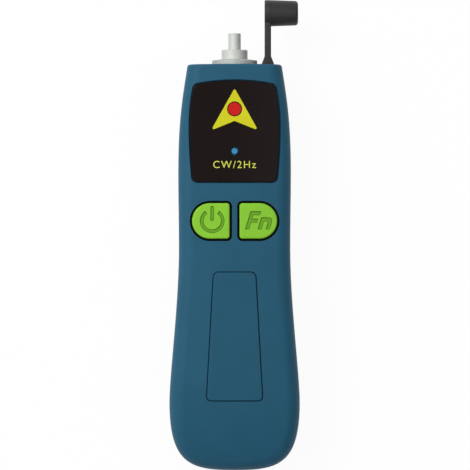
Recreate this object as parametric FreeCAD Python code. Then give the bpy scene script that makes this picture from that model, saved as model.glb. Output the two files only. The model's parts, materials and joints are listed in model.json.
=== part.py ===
"""Visual fault locator: a hand-held tester that sends red light into a fibre.

The tester lies on its back. +Z points out of its front face, +Y runs along
the body towards the light port, and +X is on the right-hand side of the keys.
The origin lies on the table, below the middle of the whole object.
All sizes are in millimetres.
"""
import FreeCAD
import Part
import math
import os

Vector = FreeCAD.Vector

# ---------------------------------------------------------------- whole object
OVERALL_LENGTH = 150.4
BODY_LENGTH = 129.7
Y_TAIL = -OVERALL_LENGTH / 2
Y_HEAD = Y_TAIL + BODY_LENGTH
TALL = 60.0
FIT_GAP = 0.1

# ------------------------------------------------- body outline, seen from above
# Each point is (half-width, distance from the tail end).
HIP = (20.8, 21.75)
WAIST = (17.75, 71.0)
CHEST = (17.97, 94.9)
HEAD_HALF_WIDTH = 14.99
HEAD_DOME = 0.15
HEAD_TAPER_DEG = 8.65
TAIL_HANDLE = 13.9
HIP_HANDLES = (19.98, 9.0)
WAIST_HANDLES = (18.0, 8.1)
CHEST_HANDLES = (6.9, 17.9)
HEAD_HANDLE = 9.9

# ------------------------------------------------------------ body, seen from the side
# Height of the front face along the middle: (distance from the tail, height).
FRONT_PROFILE = [(-6, 13.5), (10, 21.0), (22, 23.2), (40, 24.0),
                 (65, 24.0), (90, 23.6), (115, 22.8), (136, 21.8)]
FRONT_CROWN = 1.1
CROWN_HALF_WIDTH = 18.0
CROWN_STATIONS = (-26, -13, 0, 13, 26)
FRONT_ROUND = 5.0
BACK_ROUND = 7.0
HEAD_ROUND = 0.95

# ---------------------------------------------------------------- shells
WALL = 2.0
PARTING_Z = 12.0
TONGUE_HEIGHT = 1.2
RECESS_DEPTH = 1.2
RECESS_GAP = 0.4
SEAM_DEPTH = 0.25
SEAM_HALF_HEIGHT = 0.15
INLAY_EDGE_ROUND = 0.2

# ---------------------------------------------------------------- case screws
CASE_SCREWS = [(11.0, 44.0), (16.0, -39.0)]
BOSS_RADIUS = 3.3
SCREW_RADIUS = 1.1
SCREW_HEAD_RADIUS = 2.1
SCREW_HEAD_BOTTOM = 2.6
SCREW_SEAT_Z = 4.2
SCREW_TIP_Z = 18.5
SCREW_SLOT = (0.3, 1.3, 0.8)

# ---------------------------------------------------------------- display window
WINDOW_TOP_Y = 49.15
WINDOW_SHOULDER_Y = 47.8
WINDOW_BULGE = (14.3, 34.9)
WINDOW_BOTTOM_Y = 16.87
WINDOW_SIDE_RADII = (61.0, 162.0)
WINDOW_CORNER = 1.7
WINDOW_SINK = 0.25
MARK_THICKNESS = 0.06
POINTER_TIP_Y = 46.7
POINTER_BASE_Y = 33.3
POINTER_HALF_WIDTH = 7.5
POINTER_NOTCH_Y = 36.3
POINTER_CORNER = 0.4
DOT_Y = 40.1
DOT_RADIUS = 2.1
DOT_GAP = 0.3

# ---------------------------------------------------------------- indicator light
LED_Y = 26.7
LIGHT_PIPE_RADIUS = 1.0
LIGHT_PIPE_COLLAR = 1.8
LIGHT_PIPE_LENGTH = 4.3
LIGHT_PIPE_SEAT = 1.2
LED_HOLE_RADIUS = 1.45
LED_BASE = (0.8, 0.4, 0.4)
LED_LENS = (0.5, 0.4)

# ---------------------------------------------------------------- keys
KEY_Y = 4.47
KEY_HALF_HEIGHT = 5.66
KEY_INNER_X = 1.57
KEY_OUTER_X = 13.52
KEY_CORNER = 0.95
KEY_GAP = 0.74
KEY_PROUD = 0.6
KEY_EDGE_ROUND = 0.5
KEY_FLANGE_WIDTH = 1.04
KEY_FLANGE_Z = (20.0, 20.6)
KEY_WALL_GAP = 0.3
SYMBOL_DEPTH = 0.3
POWER_SYMBOL = (-7.1, 4.5)
POWER_RADIUS = 3.33
POWER_LINE = 1.15
POWER_BAR_TOP = 4.7
POWER_OPENING_DEG = 35.0
LETTER_SLANT = math.tan(math.radians(16.7))
LETTER_STROKE = 1.3
LETTER_BASE_Y = 1.77
LETTER_F = (3.32, 3.4, 5.8)
LETTER_N = (7.29, 3.9, 3.85)
LETTER_N_SHOULDER = 1.5
LETTER_N_HOLLOW_CORNER = 0.5
LETTER_F_BAR = (0.59, 0.93)
POWER_BAR_CORNER = 0.4

# ---------------------------------------------------------------- name plate, left blank
PLATE_TOP = (6.77, -11.74)
PLATE_BOTTOM = (9.03, -52.82)
PLATE_CORNERS = (1.8, 1.45)
PLATE_GAP = 0.3

# ---------------------------------------------------------------- main board
BOARD_X = 14.0
BOARD_Y = (-13.0, 29.5)
BOARD_Z = (14.4, 15.6)
BOARD_CORNER = 1.0
BOARD_SCREWS = [(11.0, -9.5), (11.0, 26.0)]
BOARD_BOSS_RADIUS = 2.4
BOARD_SCREW_RADIUS = 0.9
BOARD_SCREW_HEAD = (1.8, 1.3)
BOARD_SCREW_TIP_Z = 19.5
SWITCH_X = 7.6
SWITCH_SIZE = 6.0
SWITCH_TOP_Z = 19.2
PLUNGER_RADIUS = 1.7
PLUNGER_BOTTOM_Z = 18.0
CHIP_X = (-2.0, 2.0)
CHIP_Y = (2.1, 7.1)
CHIP_HEIGHT = 1.7
CHIP_CLEARANCE = 0.2
CHIP_LEADS = 4
CHIP_LEAD_Y = 2.7
CHIP_PITCH = 1.27
CHIP_LEAD_HALF = 0.2
CHIP_LEAD_HEIGHT = 0.5
CHIP_SPAN_X = (-3.0, 3.0)
INDUCTOR_PLACE = (8.0, 16.0)
INDUCTOR_BASE = (6.0, 0.8)
INDUCTOR_DRUM = (2.8, 2.6)
CAPACITOR_X = -8.0
CAPACITOR_Y = (10.0, 14.0, 18.0)
CAPACITOR_SIZE = (1.6, 0.8, 1.2)

# ---------------------------------------------------------------- light port and laser
PORT_Z = PARTING_Z
COLLAR_RADIUS = 7.2
COLLAR_FACE_Y = 56.2
COLLAR_FLAT_RADIUS = 4.5
COLLAR_DROP = 0.4
STEP_RADIUS = 4.15
STEP_FACE_Y = 59.2
TUBE_RADIUS = 2.0
TUBE_END_Y = 64.5
PORT_CHAMFER = 0.2
THREAD_RADIUS = 4.0
FLANGE_RADIUS = 6.0
FLANGE_Y = (50.9, 52.4)
PORT_TAIL_RADIUS = 3.4
PORT_TAIL_Y = 46.0
SLEEVE_RADII = (1.6, 1.255)
SLEEVE_Y = (53.05, 63.95)
SLEEVE_SLIT = 0.35
MOUTH_RADIUS = 1.35
BEAM_RADIUS = 0.9
BARREL_RADIUS = 4.5
BARREL_BORE = 3.4
BARREL_Y = (30.5, 50.6)
CRADLE_HALF_WIDTH = 6.5
CRADLE_Y = (35.0, 37.0)
DIODE_SEAT_Y = 34.2
DIODE_BASE = (2.8, 1.2)
DIODE_CAN = (1.8, 2.6)
DIODE_CLEARANCE = 0.4
LEAD_X = (-1.3, 0.0, 1.3)
LEAD_HALF = 0.25
LEAD_BEND_Y = 27.8
LENS_Y = 42.0
LENS_RADIUS = 3.3
LENS_CURVE = 8.0
LENS_EDGE = 0.8
LENS_SEAT = 0.5

# ---------------------------------------------------------------- dust cap and tether
TETHER_X = 10.63
TETHER_THICKNESS = 2.06
TETHER_WIDTH = 6.0
TETHER_FOOT = 5.3
TETHER_FOOT_DEPTH = 1.5
TETHER_NECK_Y = 57.25
HINGE_Y = 60.3
CAP_Y = 70.97
CAP_RADII = (4.23, 3.93)
CAP_X = (9.6, 20.3)
CAP_FLANGE = 1.9
CAP_BORE = 2.15
CAP_BORE_DEPTH = 8.5
CAP_END_ROUND = 1.1
ANCHOR_HALF = 2.5
ANCHOR_Y = (50.3, 51.8)
ANCHOR_NECK = (1.5, 1.6)

# ---------------------------------------------------------------- battery bay
CELL_RADIUS = 5.25
CELL_LENGTH = 44.5
CELL_NUB = (1.9, 1.1)
CELL_EDGE_ROUND = 0.5
CELL_X = 5.5
CELL_Z = 8.0
BAY_Y = (-64.8, -15.2)
RIB_THICKNESS = 1.2
RIB_TOP_Z = 13.2
RIB_TOP_HALF_WIDTH = 15.2
CONTACT_SHEET = 0.4
CONTACT_HALF = 3.5
HEAD_CONTACT_Y = (BAY_Y[1] - CONTACT_SHEET, BAY_Y[1])
TAIL_CONTACT_Y = (BAY_Y[0], BAY_Y[0] + CONTACT_SHEET)
TAB_Y = (-12.4, -12.0)
TAB_HALF_WIDTH = 1.0
PIN_LENGTH = 0.3
SPRING_RADIUS = 2.4
SPRING_LAP = 0.02
SPRING_TURNS = 4
COVER_HALF_WIDTH = 12.5
COVER_FRONT_Y = -16.2
COVER_TAIL_Z = 8.0
COVER_GAP = 0.15
COVER_CLEARANCE = 0.4
LEDGE_X = 11.2
LEDGE_WIDTH = 1.4
LEDGE_Y = (-58.0, -18.0)
LEDGE_Z = (2.3, 3.3)
GRIP_GROOVES = 5
GRIP_Y = -20.6
GRIP_PITCH = 1.8
GRIP_WIDTH = 0.9
GRIP_HALF_LENGTH = 6.0
GRIP_CORNER = 0.4
GRIP_DEPTH = 0.5
COVER_ARROW = (2.6, -34.6, -31.0)
HOOK_LENGTH = 5.0
HOOK_Y = (-54.0, -27.0)
HOOK_TRAVEL = 6.0
HOOK_X = (9.9, 10.9, 12.4)
HOOK_Z = (3.5, 4.6)


# ---------------------------------------------------------------- simple solids
def block(x, y, z):
    """A box between three pairs of limits."""
    size = (x[1] - x[0], y[1] - y[0], z[1] - z[0])
    return Part.makeBox(*size, Vector(x[0], y[0], z[0]))


def post(radius, z, x, y):
    """An upright cylinder between two heights."""
    return Part.makeCylinder(radius, z[1] - z[0], Vector(x, y, z[0]))


def round_bar(radius, y, x=0.0, z=PORT_Z):
    """A cylinder that runs along the body, on the light port's axis by default."""
    return Part.makeCylinder(radius, y[1] - y[0], Vector(x, y[0], z), Vector(0, 1, 0))


def prism(face, z_low=0.0, z_high=TALL):
    """A flat face drawn at height 0, pulled up into a solid between two heights."""
    return face.translated(Vector(0, 0, z_low)).extrude(Vector(0, 0, z_high - z_low))


def grown(face, distance):
    """A flat face with its outline moved out by a distance."""
    return face.makeOffset2D(distance)


def joined(shapes):
    """One solid from several that touch or overlap."""
    result = shapes[0].fuse(shapes[1:]) if len(shapes) > 1 else shapes[0]
    return result.removeSplitter()


def mirrored(shape):
    """The same shape on the other side of the middle plane."""
    return shape.mirror(Vector(0, 0, 0), Vector(1, 0, 0))


def both_sides(places):
    """Each (x, y) place, and its mirror image."""
    return [(side * x, y) for x, y in places for side in (-1, 1)]


def rounded_face(corners):
    """A flat face from (x, y, corner radius) points, in order round it."""
    edges = []
    ends = []
    for index, (x, y, radius) in enumerate(corners):
        corner = Vector(x, y, 0)
        before = Vector(*corners[index - 1][:2], 0) - corner
        after = Vector(*corners[(index + 1) % len(corners)][:2], 0) - corner
        half_angle = before.getAngle(after) / 2
        inward = (before.normalize() + after.normalize()).normalize()
        reach = radius / math.tan(half_angle)
        nearest = radius / math.sin(half_angle) - radius
        start = corner + before * reach
        end = corner + after * reach
        edges.append(Part.Arc(start, corner + inward * nearest, end).toShape())
        ends.append((start, end))
    for index, (start, _) in enumerate(ends):
        edges.append(Part.LineSegment(ends[index - 1][1], start).toShape())
    return Part.Face(Part.Wire(Part.sortEdges(edges)[0]))


# ---------------------------------------------------------------- body form
def outline_curve(*points):
    """A smooth curve from its (half-width, distance from the tail) poles."""
    curve = Part.BezierCurve()
    curve.setPoles([Vector(x, Y_TAIL + along, 0) for x, along in points])
    return curve.toShape()


def body_outline():
    """The body seen from above, as a flat face."""
    head = (HEAD_HALF_WIDTH, BODY_LENGTH - HEAD_DOME)
    head_lean = HEAD_HANDLE * math.tan(math.radians(HEAD_TAPER_DEG))
    right = [
        outline_curve((0, 0), (TAIL_HANDLE, 0), (HIP[0], HIP[1] - HIP_HANDLES[0]), HIP),
        outline_curve(HIP, (HIP[0], HIP[1] + HIP_HANDLES[1]),
                      (WAIST[0], WAIST[1] - WAIST_HANDLES[0]), WAIST),
        outline_curve(WAIST, (WAIST[0], WAIST[1] + WAIST_HANDLES[1]),
                      (CHEST[0], CHEST[1] - CHEST_HANDLES[0]), CHEST),
        outline_curve(CHEST, (CHEST[0], CHEST[1] + CHEST_HANDLES[1]),
                      (head[0] + head_lean, head[1] - HEAD_HANDLE), head),
    ]
    left = [mirrored(edge) for edge in right]
    corner = Vector(head[0], Y_TAIL + head[1], 0)
    dome = Part.Arc(corner, Vector(0, Y_HEAD, 0), Vector(-corner.x, corner.y, 0)).toShape()
    return Part.Face(Part.Wire(Part.sortEdges(right + left + [dome])[0]))


def below_front(drop=0.0):
    """Everything under the crowned front face, or under a face that far below it."""
    rows = []
    for x in CROWN_STATIONS:
        crown = FRONT_CROWN * (x / CROWN_HALF_WIDTH) ** 2
        rows.append([Vector(x, Y_TAIL + along, height - crown - drop)
                     for along, height in FRONT_PROFILE])
    surface = Part.BSplineSurface()
    surface.interpolate(rows)
    return surface.toShape().extrude(Vector(0, 0, -2 * TALL))


def front_height(x, y):
    """Height of the front face above one point."""
    probe = Part.makeLine(Vector(x, y, 0), Vector(x, y, TALL))
    return below_front().common(probe).BoundBox.ZMax


def body_form(inset=0.0):
    """The body's rounded outer form, or the same form with its faces moved in."""
    outline = body_outline()
    if inset:
        outline = grown(outline, -inset).toNurbs().Faces[0]
    solid = prism(outline, inset).common(below_front(inset)).Solids[0]
    head_y = Y_HEAD - inset - HEAD_DOME - FIT_GAP
    front = [edge for edge in solid.Edges
             if edge.BoundBox.ZMin > PARTING_Z and edge.CenterOfMass.y < head_y]
    solid = solid.makeFillet(FRONT_ROUND - inset, front)
    back = [edge for edge in solid.Edges
            if edge.BoundBox.ZMax < inset + FIT_GAP and edge.CenterOfMass.y < head_y]
    solid = solid.makeFillet(BACK_ROUND - inset, back)
    if inset < HEAD_ROUND:
        head_face = max(solid.Faces, key=lambda face: face.CenterOfMass.y)
        solid = solid.makeFillet(HEAD_ROUND - inset, head_face.Edges)
    return solid


OUTER = body_form()
MIDDLE = body_form(WALL / 2)
TONGUE = body_form(WALL / 2 + FIT_GAP)
INNER = body_form(WALL)
SEAM_FLOOR = body_form(SEAM_DEPTH)
KEY_ROOM = body_form(WALL + KEY_WALL_GAP)


# ---------------------------------------------------------------- openings in the front
def window_side_point(radius, y):
    """A point of the arc that runs up or down from the window's widest place."""
    widest_x, widest_y = WINDOW_BULGE
    return Vector(widest_x - radius + math.sqrt(radius ** 2 - (y - widest_y) ** 2), y, 0)


def window_face():
    """Outline of the dark display window: arched top, bulging sides."""
    right = []
    for radius, end_y in zip(WINDOW_SIDE_RADII, (WINDOW_SHOULDER_Y, WINDOW_BOTTOM_Y)):
        places = (WINDOW_BULGE[1], (WINDOW_BULGE[1] + end_y) / 2, end_y)
        right.append(Part.Arc(*[window_side_point(radius, y) for y in places]).toShape())
    left = [mirrored(edge) for edge in right]
    shoulder, low_corner = [edge.Vertexes[-1].Point for edge in right]
    top = Part.Arc(shoulder, Vector(0, WINDOW_TOP_Y, 0),
                   Vector(-shoulder.x, shoulder.y, 0)).toShape()
    bottom = Part.makeLine(Vector(-low_corner.x, low_corner.y, 0), low_corner)
    sharp = Part.Face(Part.Wire(Part.sortEdges(right + left + [top, bottom])[0]))
    return grown(grown(sharp, -WINDOW_CORNER), WINDOW_CORNER)


def key_face():
    """Outline of the right key: rounded inner corners and a half-round outer end."""
    top = KEY_Y + KEY_HALF_HEIGHT
    low = KEY_Y - KEY_HALF_HEIGHT
    round_x = KEY_OUTER_X - KEY_HALF_HEIGHT
    inner_x = KEY_INNER_X + KEY_CORNER
    nearest = KEY_CORNER * (1 - math.sqrt(0.5))
    corner_x = KEY_INNER_X + nearest
    end = Part.Arc(Vector(round_x, low, 0), Vector(KEY_OUTER_X, KEY_Y, 0),
                   Vector(round_x, top, 0))
    top_corner = Part.Arc(Vector(inner_x, top, 0), Vector(corner_x, top - nearest, 0),
                          Vector(KEY_INNER_X, top - KEY_CORNER, 0))
    low_corner = Part.Arc(Vector(KEY_INNER_X, low + KEY_CORNER, 0),
                          Vector(corner_x, low + nearest, 0), Vector(inner_x, low, 0))
    sides = [
        Part.LineSegment(Vector(round_x, top, 0), Vector(inner_x, top, 0)),
        Part.LineSegment(Vector(KEY_INNER_X, top - KEY_CORNER, 0),
                         Vector(KEY_INNER_X, low + KEY_CORNER, 0)),
        Part.LineSegment(Vector(inner_x, low, 0), Vector(round_x, low, 0)),
    ]
    edges = [curve.toShape() for curve in [end, top_corner, low_corner] + sides]
    return Part.Face(Part.Wire(Part.sortEdges(edges)[0]))


def plate_face():
    """Outline of the blank name plate, which widens towards the tail."""
    top_x, top_y = PLATE_TOP
    low_x, low_y = PLATE_BOTTOM
    top_corner, low_corner = PLATE_CORNERS
    return rounded_face([(-low_x, low_y, low_corner), (low_x, low_y, low_corner),
                         (top_x, top_y, top_corner), (-top_x, top_y, top_corner)])


def front_recess(face, gap):
    """What a shallow recess in the front face takes away."""
    return prism(grown(face, gap)).cut(below_front(RECESS_DEPTH))


def front_inlay(face, sink):
    """A thin plate that lies in such a recess and follows the front face."""
    return prism(face).common(below_front(sink)).cut(below_front(RECESS_DEPTH))


def eased(inlay):
    """The same plate with the edges of its top face rounded."""
    top = max(inlay.Faces, key=lambda face: face.CenterOfMass.z)
    return inlay.makeFillet(INLAY_EDGE_ROUND, top.Edges)


# ---------------------------------------------------------------- shells
def case_bosses(z_low, z_high):
    """Screw posts at the case screws' places."""
    return [post(BOSS_RADIUS, (z_low, z_high), x, y) for x, y in both_sides(CASE_SCREWS)]


def port_opening():
    """The hole through the head wall for the port's thread."""
    return round_bar(THREAD_RADIUS, (FLANGE_Y[1] - 1, Y_HEAD + 1))


def seam_groove():
    """The fine groove round the case where its shells meet."""
    band = block((-TALL, TALL), (-2 * TALL, 2 * TALL),
                 (PARTING_Z - SEAM_HALF_HEIGHT, PARTING_Z + SEAM_HALF_HEIGHT))
    return OUTER.cut(SEAM_FLOOR).common(band)


def tether_slot():
    """The slot through the head wall for the tether's neck."""
    half_x, half_z = ANCHOR_NECK
    return block((TETHER_X - half_x, TETHER_X + half_x), (ANCHOR_Y[1] - 1, Y_HEAD + 1),
                 (PORT_Z - half_z, PORT_Z + half_z))


def front_shell():
    """Upper half of the case, with its window recess, key wells and posts."""
    upper = block((-TALL, TALL), (-2 * TALL, 2 * TALL), (PARTING_Z, TALL))
    lip = block((-TALL, TALL), (-2 * TALL, 2 * TALL), (PARTING_Z - TONGUE_HEIGHT, PARTING_Z))
    tongue = TONGUE.cut(INNER).common(lip)
    wall = OUTER.cut(INNER).common(upper)
    board_bosses = [post(BOARD_BOSS_RADIUS, (BOARD_Z[1], TALL), x, y)
                    for x, y in both_sides(BOARD_SCREWS)]
    bosses = [boss.common(MIDDLE) for boss in case_bosses(PARTING_Z, TALL) + board_bosses]
    shell = joined([wall, tongue] + bosses)
    right_well = prism(grown(key_face(), KEY_GAP), PARTING_Z)
    cuts = [
        front_recess(window_face(), RECESS_GAP),
        front_recess(plate_face(), PLATE_GAP / 2),
        right_well,
        mirrored(right_well),
        post(LIGHT_PIPE_RADIUS + FIT_GAP / 2, (PARTING_Z, TALL), 0, LED_Y),
        port_opening(),
        tether_slot(),
        seam_groove(),
    ]
    cuts += [post(SCREW_RADIUS, (0, SCREW_TIP_Z), x, y) for x, y in both_sides(CASE_SCREWS)]
    cuts += [post(BOARD_SCREW_RADIUS, (0, BOARD_SCREW_TIP_Z), x, y)
             for x, y in both_sides(BOARD_SCREWS)]
    return shell.cut(cuts)


def bay_rib(y_low, z_low):
    """Cross wall of the battery bay, narrower where it rises past the shells' joint."""
    y = (y_low, y_low + RIB_THICKNESS)
    joint_z = PARTING_Z - TONGUE_HEIGHT - 2 * FIT_GAP
    low = block((-TALL, TALL), y, (z_low, joint_z)).common(MIDDLE)
    high = block((-RIB_TOP_HALF_WIDTH, RIB_TOP_HALF_WIDTH), y, (z_low, RIB_TOP_Z)).common(MIDDLE)
    return joined([low, high])


def bay_ribs():
    """Cross walls that carry the battery contacts."""
    return [bay_rib(BAY_Y[0] - RIB_THICKNESS, WALL + COVER_CLEARANCE), bay_rib(BAY_Y[1], WALL / 2)]


def cover_ledges():
    """Inner ledges that the cover's hooks slide under, notched so that it lifts out."""
    edge_x = COVER_HALF_WIDTH + COVER_GAP
    rail = block((LEDGE_X, edge_x + LEDGE_WIDTH), LEDGE_Y, LEDGE_Z)
    root = block((edge_x, edge_x + LEDGE_WIDTH), LEDGE_Y, (WALL / 2, LEDGE_Z[1]))
    ledge = joined([rail, root])
    for low in HOOK_Y:
        notch_y = (low - HOOK_TRAVEL - FIT_GAP, low - HOOK_TRAVEL + HOOK_LENGTH + FIT_GAP)
        ledge = ledge.cut(block((LEDGE_X, HOOK_X[2] + FIT_GAP), notch_y, LEDGE_Z))
    return [ledge, mirrored(ledge)]


def barrel_cradle():
    """Rib that carries the laser barrel."""
    rib = block((-CRADLE_HALF_WIDTH, CRADLE_HALF_WIDTH), CRADLE_Y, (WALL / 2, PORT_Z - 1))
    return rib.cut(round_bar(BARREL_RADIUS, BARREL_Y))


def rear_shell():
    """Lower half of the case, with the battery bay and its opening."""
    lower = block((-TALL, TALL), (-2 * TALL, 2 * TALL), (0, PARTING_Z))
    groove = block((-TALL, TALL), (-2 * TALL, 2 * TALL),
                   (PARTING_Z - TONGUE_HEIGHT - FIT_GAP, PARTING_Z))
    wall = OUTER.cut(INNER).common(lower)
    edge_x = COVER_HALF_WIDTH + COVER_GAP
    opening = block((-edge_x, edge_x), (-2 * TALL, COVER_FRONT_Y + COVER_GAP),
                    (-1, COVER_TAIL_Z + COVER_GAP))
    posts = [boss.common(MIDDLE) for boss in case_bosses(0, PARTING_Z)]
    parts = [wall.cut(opening)] + posts + bay_ribs() + cover_ledges() + [barrel_cradle()]
    tongue_seat = MIDDLE.cut(INNER).common(groove)
    shell = joined(parts).cut([tongue_seat, port_opening(), tether_slot(), seam_groove()])
    for x, y in both_sides(CASE_SCREWS):
        shell = shell.cut(post(SCREW_RADIUS + 2 * FIT_GAP, (0, PARTING_Z), x, y))
        shell = shell.cut(post(SCREW_HEAD_RADIUS + FIT_GAP, (-1, SCREW_SEAT_Z), x, y))
    return shell


def thumb_grip():
    """Round-ended grooves across the cover, and an arrow that shows the way it slides."""
    cuts = []
    for step in range(GRIP_GROOVES):
        y = GRIP_Y - GRIP_PITCH * step
        half_width = GRIP_WIDTH / 2
        groove = rounded_face([(-GRIP_HALF_LENGTH, y - half_width, GRIP_CORNER),
                               (GRIP_HALF_LENGTH, y - half_width, GRIP_CORNER),
                               (GRIP_HALF_LENGTH, y + half_width, GRIP_CORNER),
                               (-GRIP_HALF_LENGTH, y + half_width, GRIP_CORNER)])
        cuts.append(prism(groove, -1, GRIP_DEPTH))
    half_arrow, arrow_tip_y, arrow_base_y = COVER_ARROW
    arrow = rounded_face([(-half_arrow, arrow_base_y, GRIP_CORNER),
                          (0, arrow_tip_y, GRIP_CORNER),
                          (half_arrow, arrow_base_y, GRIP_CORNER)])
    return cuts + [prism(arrow, -1, GRIP_DEPTH)]


def battery_cover():
    """Sliding cover: the wall over the battery bay, with four hooks and a thumb grip."""
    region = block((-COVER_HALF_WIDTH, COVER_HALF_WIDTH), (-2 * TALL, COVER_FRONT_Y),
                   (-1, COVER_TAIL_Z))
    cover = OUTER.cut(INNER).common(region)
    for low in HOOK_Y:
        length = (low, low + HOOK_LENGTH)
        stem = block(HOOK_X[:2], length, (WALL / 2, HOOK_Z[1]))
        lip = block(HOOK_X[1:], length, HOOK_Z)
        hook = joined([stem, lip])
        cover = joined([cover, hook, mirrored(hook)])
    return cover.cut(thumb_grip())


def case_screws():
    """Pan-head screws that hold the two shells together."""
    screws = []
    half_slot, reach, depth = SCREW_SLOT
    slot_z = (0, SCREW_HEAD_BOTTOM + depth)
    for x, y in both_sides(CASE_SCREWS):
        shank = post(SCREW_RADIUS, (SCREW_SEAT_Z, SCREW_TIP_Z), x, y)
        head = post(SCREW_HEAD_RADIUS, (SCREW_HEAD_BOTTOM, SCREW_SEAT_Z), x, y)
        slots = [block((x - half_slot, x + half_slot), (y - reach, y + reach), slot_z),
                 block((x - reach, x + reach), (y - half_slot, y + half_slot), slot_z)]
        screws.append(joined([shank, head]).cut(slots))
    return Part.makeCompound(screws)


# ---------------------------------------------------------------- front pieces
def window_panel():
    """Dark curved panel over the indicator light."""
    panel = front_inlay(window_face(), WINDOW_SINK)
    return eased(panel.cut(post(LED_HOLE_RADIUS, (0, TALL), 0, LED_Y)))


def printed(face):
    """A thin layer of ink on the window panel."""
    return prism(face).common(below_front(WINDOW_SINK - MARK_THICKNESS)).cut(
        below_front(WINDOW_SINK))


def dot_face(radius):
    """The round spot inside the pointer mark."""
    return Part.Face(Part.Wire(Part.makeCircle(radius, Vector(0, DOT_Y, 0))))


def pointer_mark():
    """Arrowhead that points at the port the light comes out of."""
    outline = rounded_face([
        (-POINTER_HALF_WIDTH, POINTER_BASE_Y, POINTER_CORNER),
        (0, POINTER_NOTCH_Y, POINTER_CORNER),
        (POINTER_HALF_WIDTH, POINTER_BASE_Y, POINTER_CORNER),
        (0, POINTER_TIP_Y, POINTER_CORNER),
    ])
    return printed(outline).cut(prism(dot_face(DOT_RADIUS + DOT_GAP)))


def light_dot():
    """Red spot that stands for the light."""
    return printed(dot_face(DOT_RADIUS))


def name_plate():
    """Blank plate let into the lower front."""
    return eased(front_inlay(grown(plate_face(), -PLATE_GAP / 2), 0.0))


def light_pipe():
    """Clear rod that carries the indicator's light to the window."""
    seat_z = front_height(0, LED_Y) - WALL
    rod = post(LIGHT_PIPE_RADIUS, (seat_z - LIGHT_PIPE_LENGTH, TALL), 0, LED_Y)
    collar = post(LIGHT_PIPE_COLLAR, (seat_z - LIGHT_PIPE_SEAT, seat_z - FIT_GAP), 0, LED_Y)
    return joined([rod.common(below_front(FIT_GAP)), collar])


# ---------------------------------------------------------------- keys
def key_blank():
    """The right key without its symbol: a proud cap on a flange under the shell."""
    face = key_face()
    cap = prism(face, KEY_FLANGE_Z[0]).common(below_front(-KEY_PROUD))
    rim = [edge for edge in cap.Edges if edge.BoundBox.ZMin > KEY_FLANGE_Z[1] + 1]
    cap = cap.makeFillet(KEY_EDGE_ROUND, rim)
    flange = prism(grown(face, KEY_FLANGE_WIDTH), *KEY_FLANGE_Z).common(KEY_ROOM)
    return joined([cap, flange])


def engraved(key, face):
    """The key with a symbol sunk into its top."""
    return key.cut(prism(face).cut(below_front(SYMBOL_DEPTH - KEY_PROUD)))


def power_symbol():
    """Open ring with a bar through the opening."""
    x, y = POWER_SYMBOL
    half_line = POWER_LINE / 2
    centre = Vector(x, y, 0)
    outer = Part.Face(Part.Wire(Part.makeCircle(POWER_RADIUS + half_line, centre)))
    inner = Part.Face(Part.Wire(Part.makeCircle(POWER_RADIUS - half_line, centre)))
    spread = 2 * POWER_RADIUS * math.tan(math.radians(POWER_OPENING_DEG))
    opening = Part.Face(Part.makePolygon([
        centre, centre + Vector(spread, 2 * POWER_RADIUS, 0),
        centre + Vector(-spread, 2 * POWER_RADIUS, 0), centre]))
    bar = rounded_face([(x - half_line, y, POWER_BAR_CORNER),
                        (x + half_line, y, POWER_BAR_CORNER),
                        (x + half_line, y + POWER_BAR_TOP, POWER_BAR_CORNER),
                        (x - half_line, y + POWER_BAR_TOP, POWER_BAR_CORNER)])
    return outer.cut(inner).cut(opening).fuse(bar)


def slanted(face):
    """A flat face leaned to the right, about the letters' base line."""
    lean = FreeCAD.Matrix()
    lean.A12 = LETTER_SLANT
    lean.A14 = -LETTER_SLANT * LETTER_BASE_Y
    return face.transformGeometry(lean)


def rectangle(x, y):
    """A flat rectangle between two pairs of limits."""
    return Part.Face(Part.makePolygon([Vector(x[0], y[0], 0), Vector(x[1], y[0], 0),
                                       Vector(x[1], y[1], 0), Vector(x[0], y[1], 0),
                                       Vector(x[0], y[0], 0)]))


def letters_fn():
    """The letters F and n, for the function key."""
    base = LETTER_BASE_Y
    f_x, f_width, f_height = LETTER_F
    n_x, n_width, n_height = LETTER_N
    bar_height, bar_length = LETTER_F_BAR
    middle = base + bar_height * f_height
    letter_f = [
        rectangle((f_x, f_x + LETTER_STROKE), (base, base + f_height)),
        rectangle((f_x, f_x + f_width), (base + f_height - LETTER_STROKE, base + f_height)),
        rectangle((f_x, f_x + bar_length * f_width), (middle - LETTER_STROKE, middle)),
    ]
    stem = rectangle((n_x, n_x + LETTER_STROKE), (base, base + n_height))
    arch = rounded_face([(n_x, base - 2, FIT_GAP), (n_x + n_width, base - 2, FIT_GAP),
                         (n_x + n_width, base + n_height, LETTER_N_SHOULDER),
                         (n_x, base + n_height, FIT_GAP)])
    hollow = rounded_face([
        (n_x + LETTER_STROKE, base - 3, FIT_GAP),
        (n_x + n_width - LETTER_STROKE, base - 3, FIT_GAP),
        (n_x + n_width - LETTER_STROKE, base + n_height - LETTER_STROKE, LETTER_N_HOLLOW_CORNER),
        (n_x + LETTER_STROKE, base + n_height - LETTER_STROKE, LETTER_N_HOLLOW_CORNER),
    ])
    above_base = rectangle((n_x - 1, n_x + n_width + 1), (base, base + n_height + 1))
    letter_n = [stem, arch.cut(hollow).common(above_base)]
    fused = letter_f[0].fuse(letter_f[1:] + letter_n).removeSplitter()
    return slanted(fused)


def power_button():
    """Left key, with the power symbol."""
    return engraved(mirrored(key_blank()), power_symbol())


def fn_button():
    """Right key, with the function letters."""
    return engraved(key_blank(), letters_fn())


def tact_switch(x):
    """Square switch on the board, open at the top for its plunger."""
    half = SWITCH_SIZE / 2
    case = block((x - half, x + half), (KEY_Y - half, KEY_Y + half), (BOARD_Z[1], SWITCH_TOP_Z))
    return case.cut(post(PLUNGER_RADIUS + FIT_GAP, (PLUNGER_BOTTOM_Z - 1, TALL), x, KEY_Y))


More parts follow.
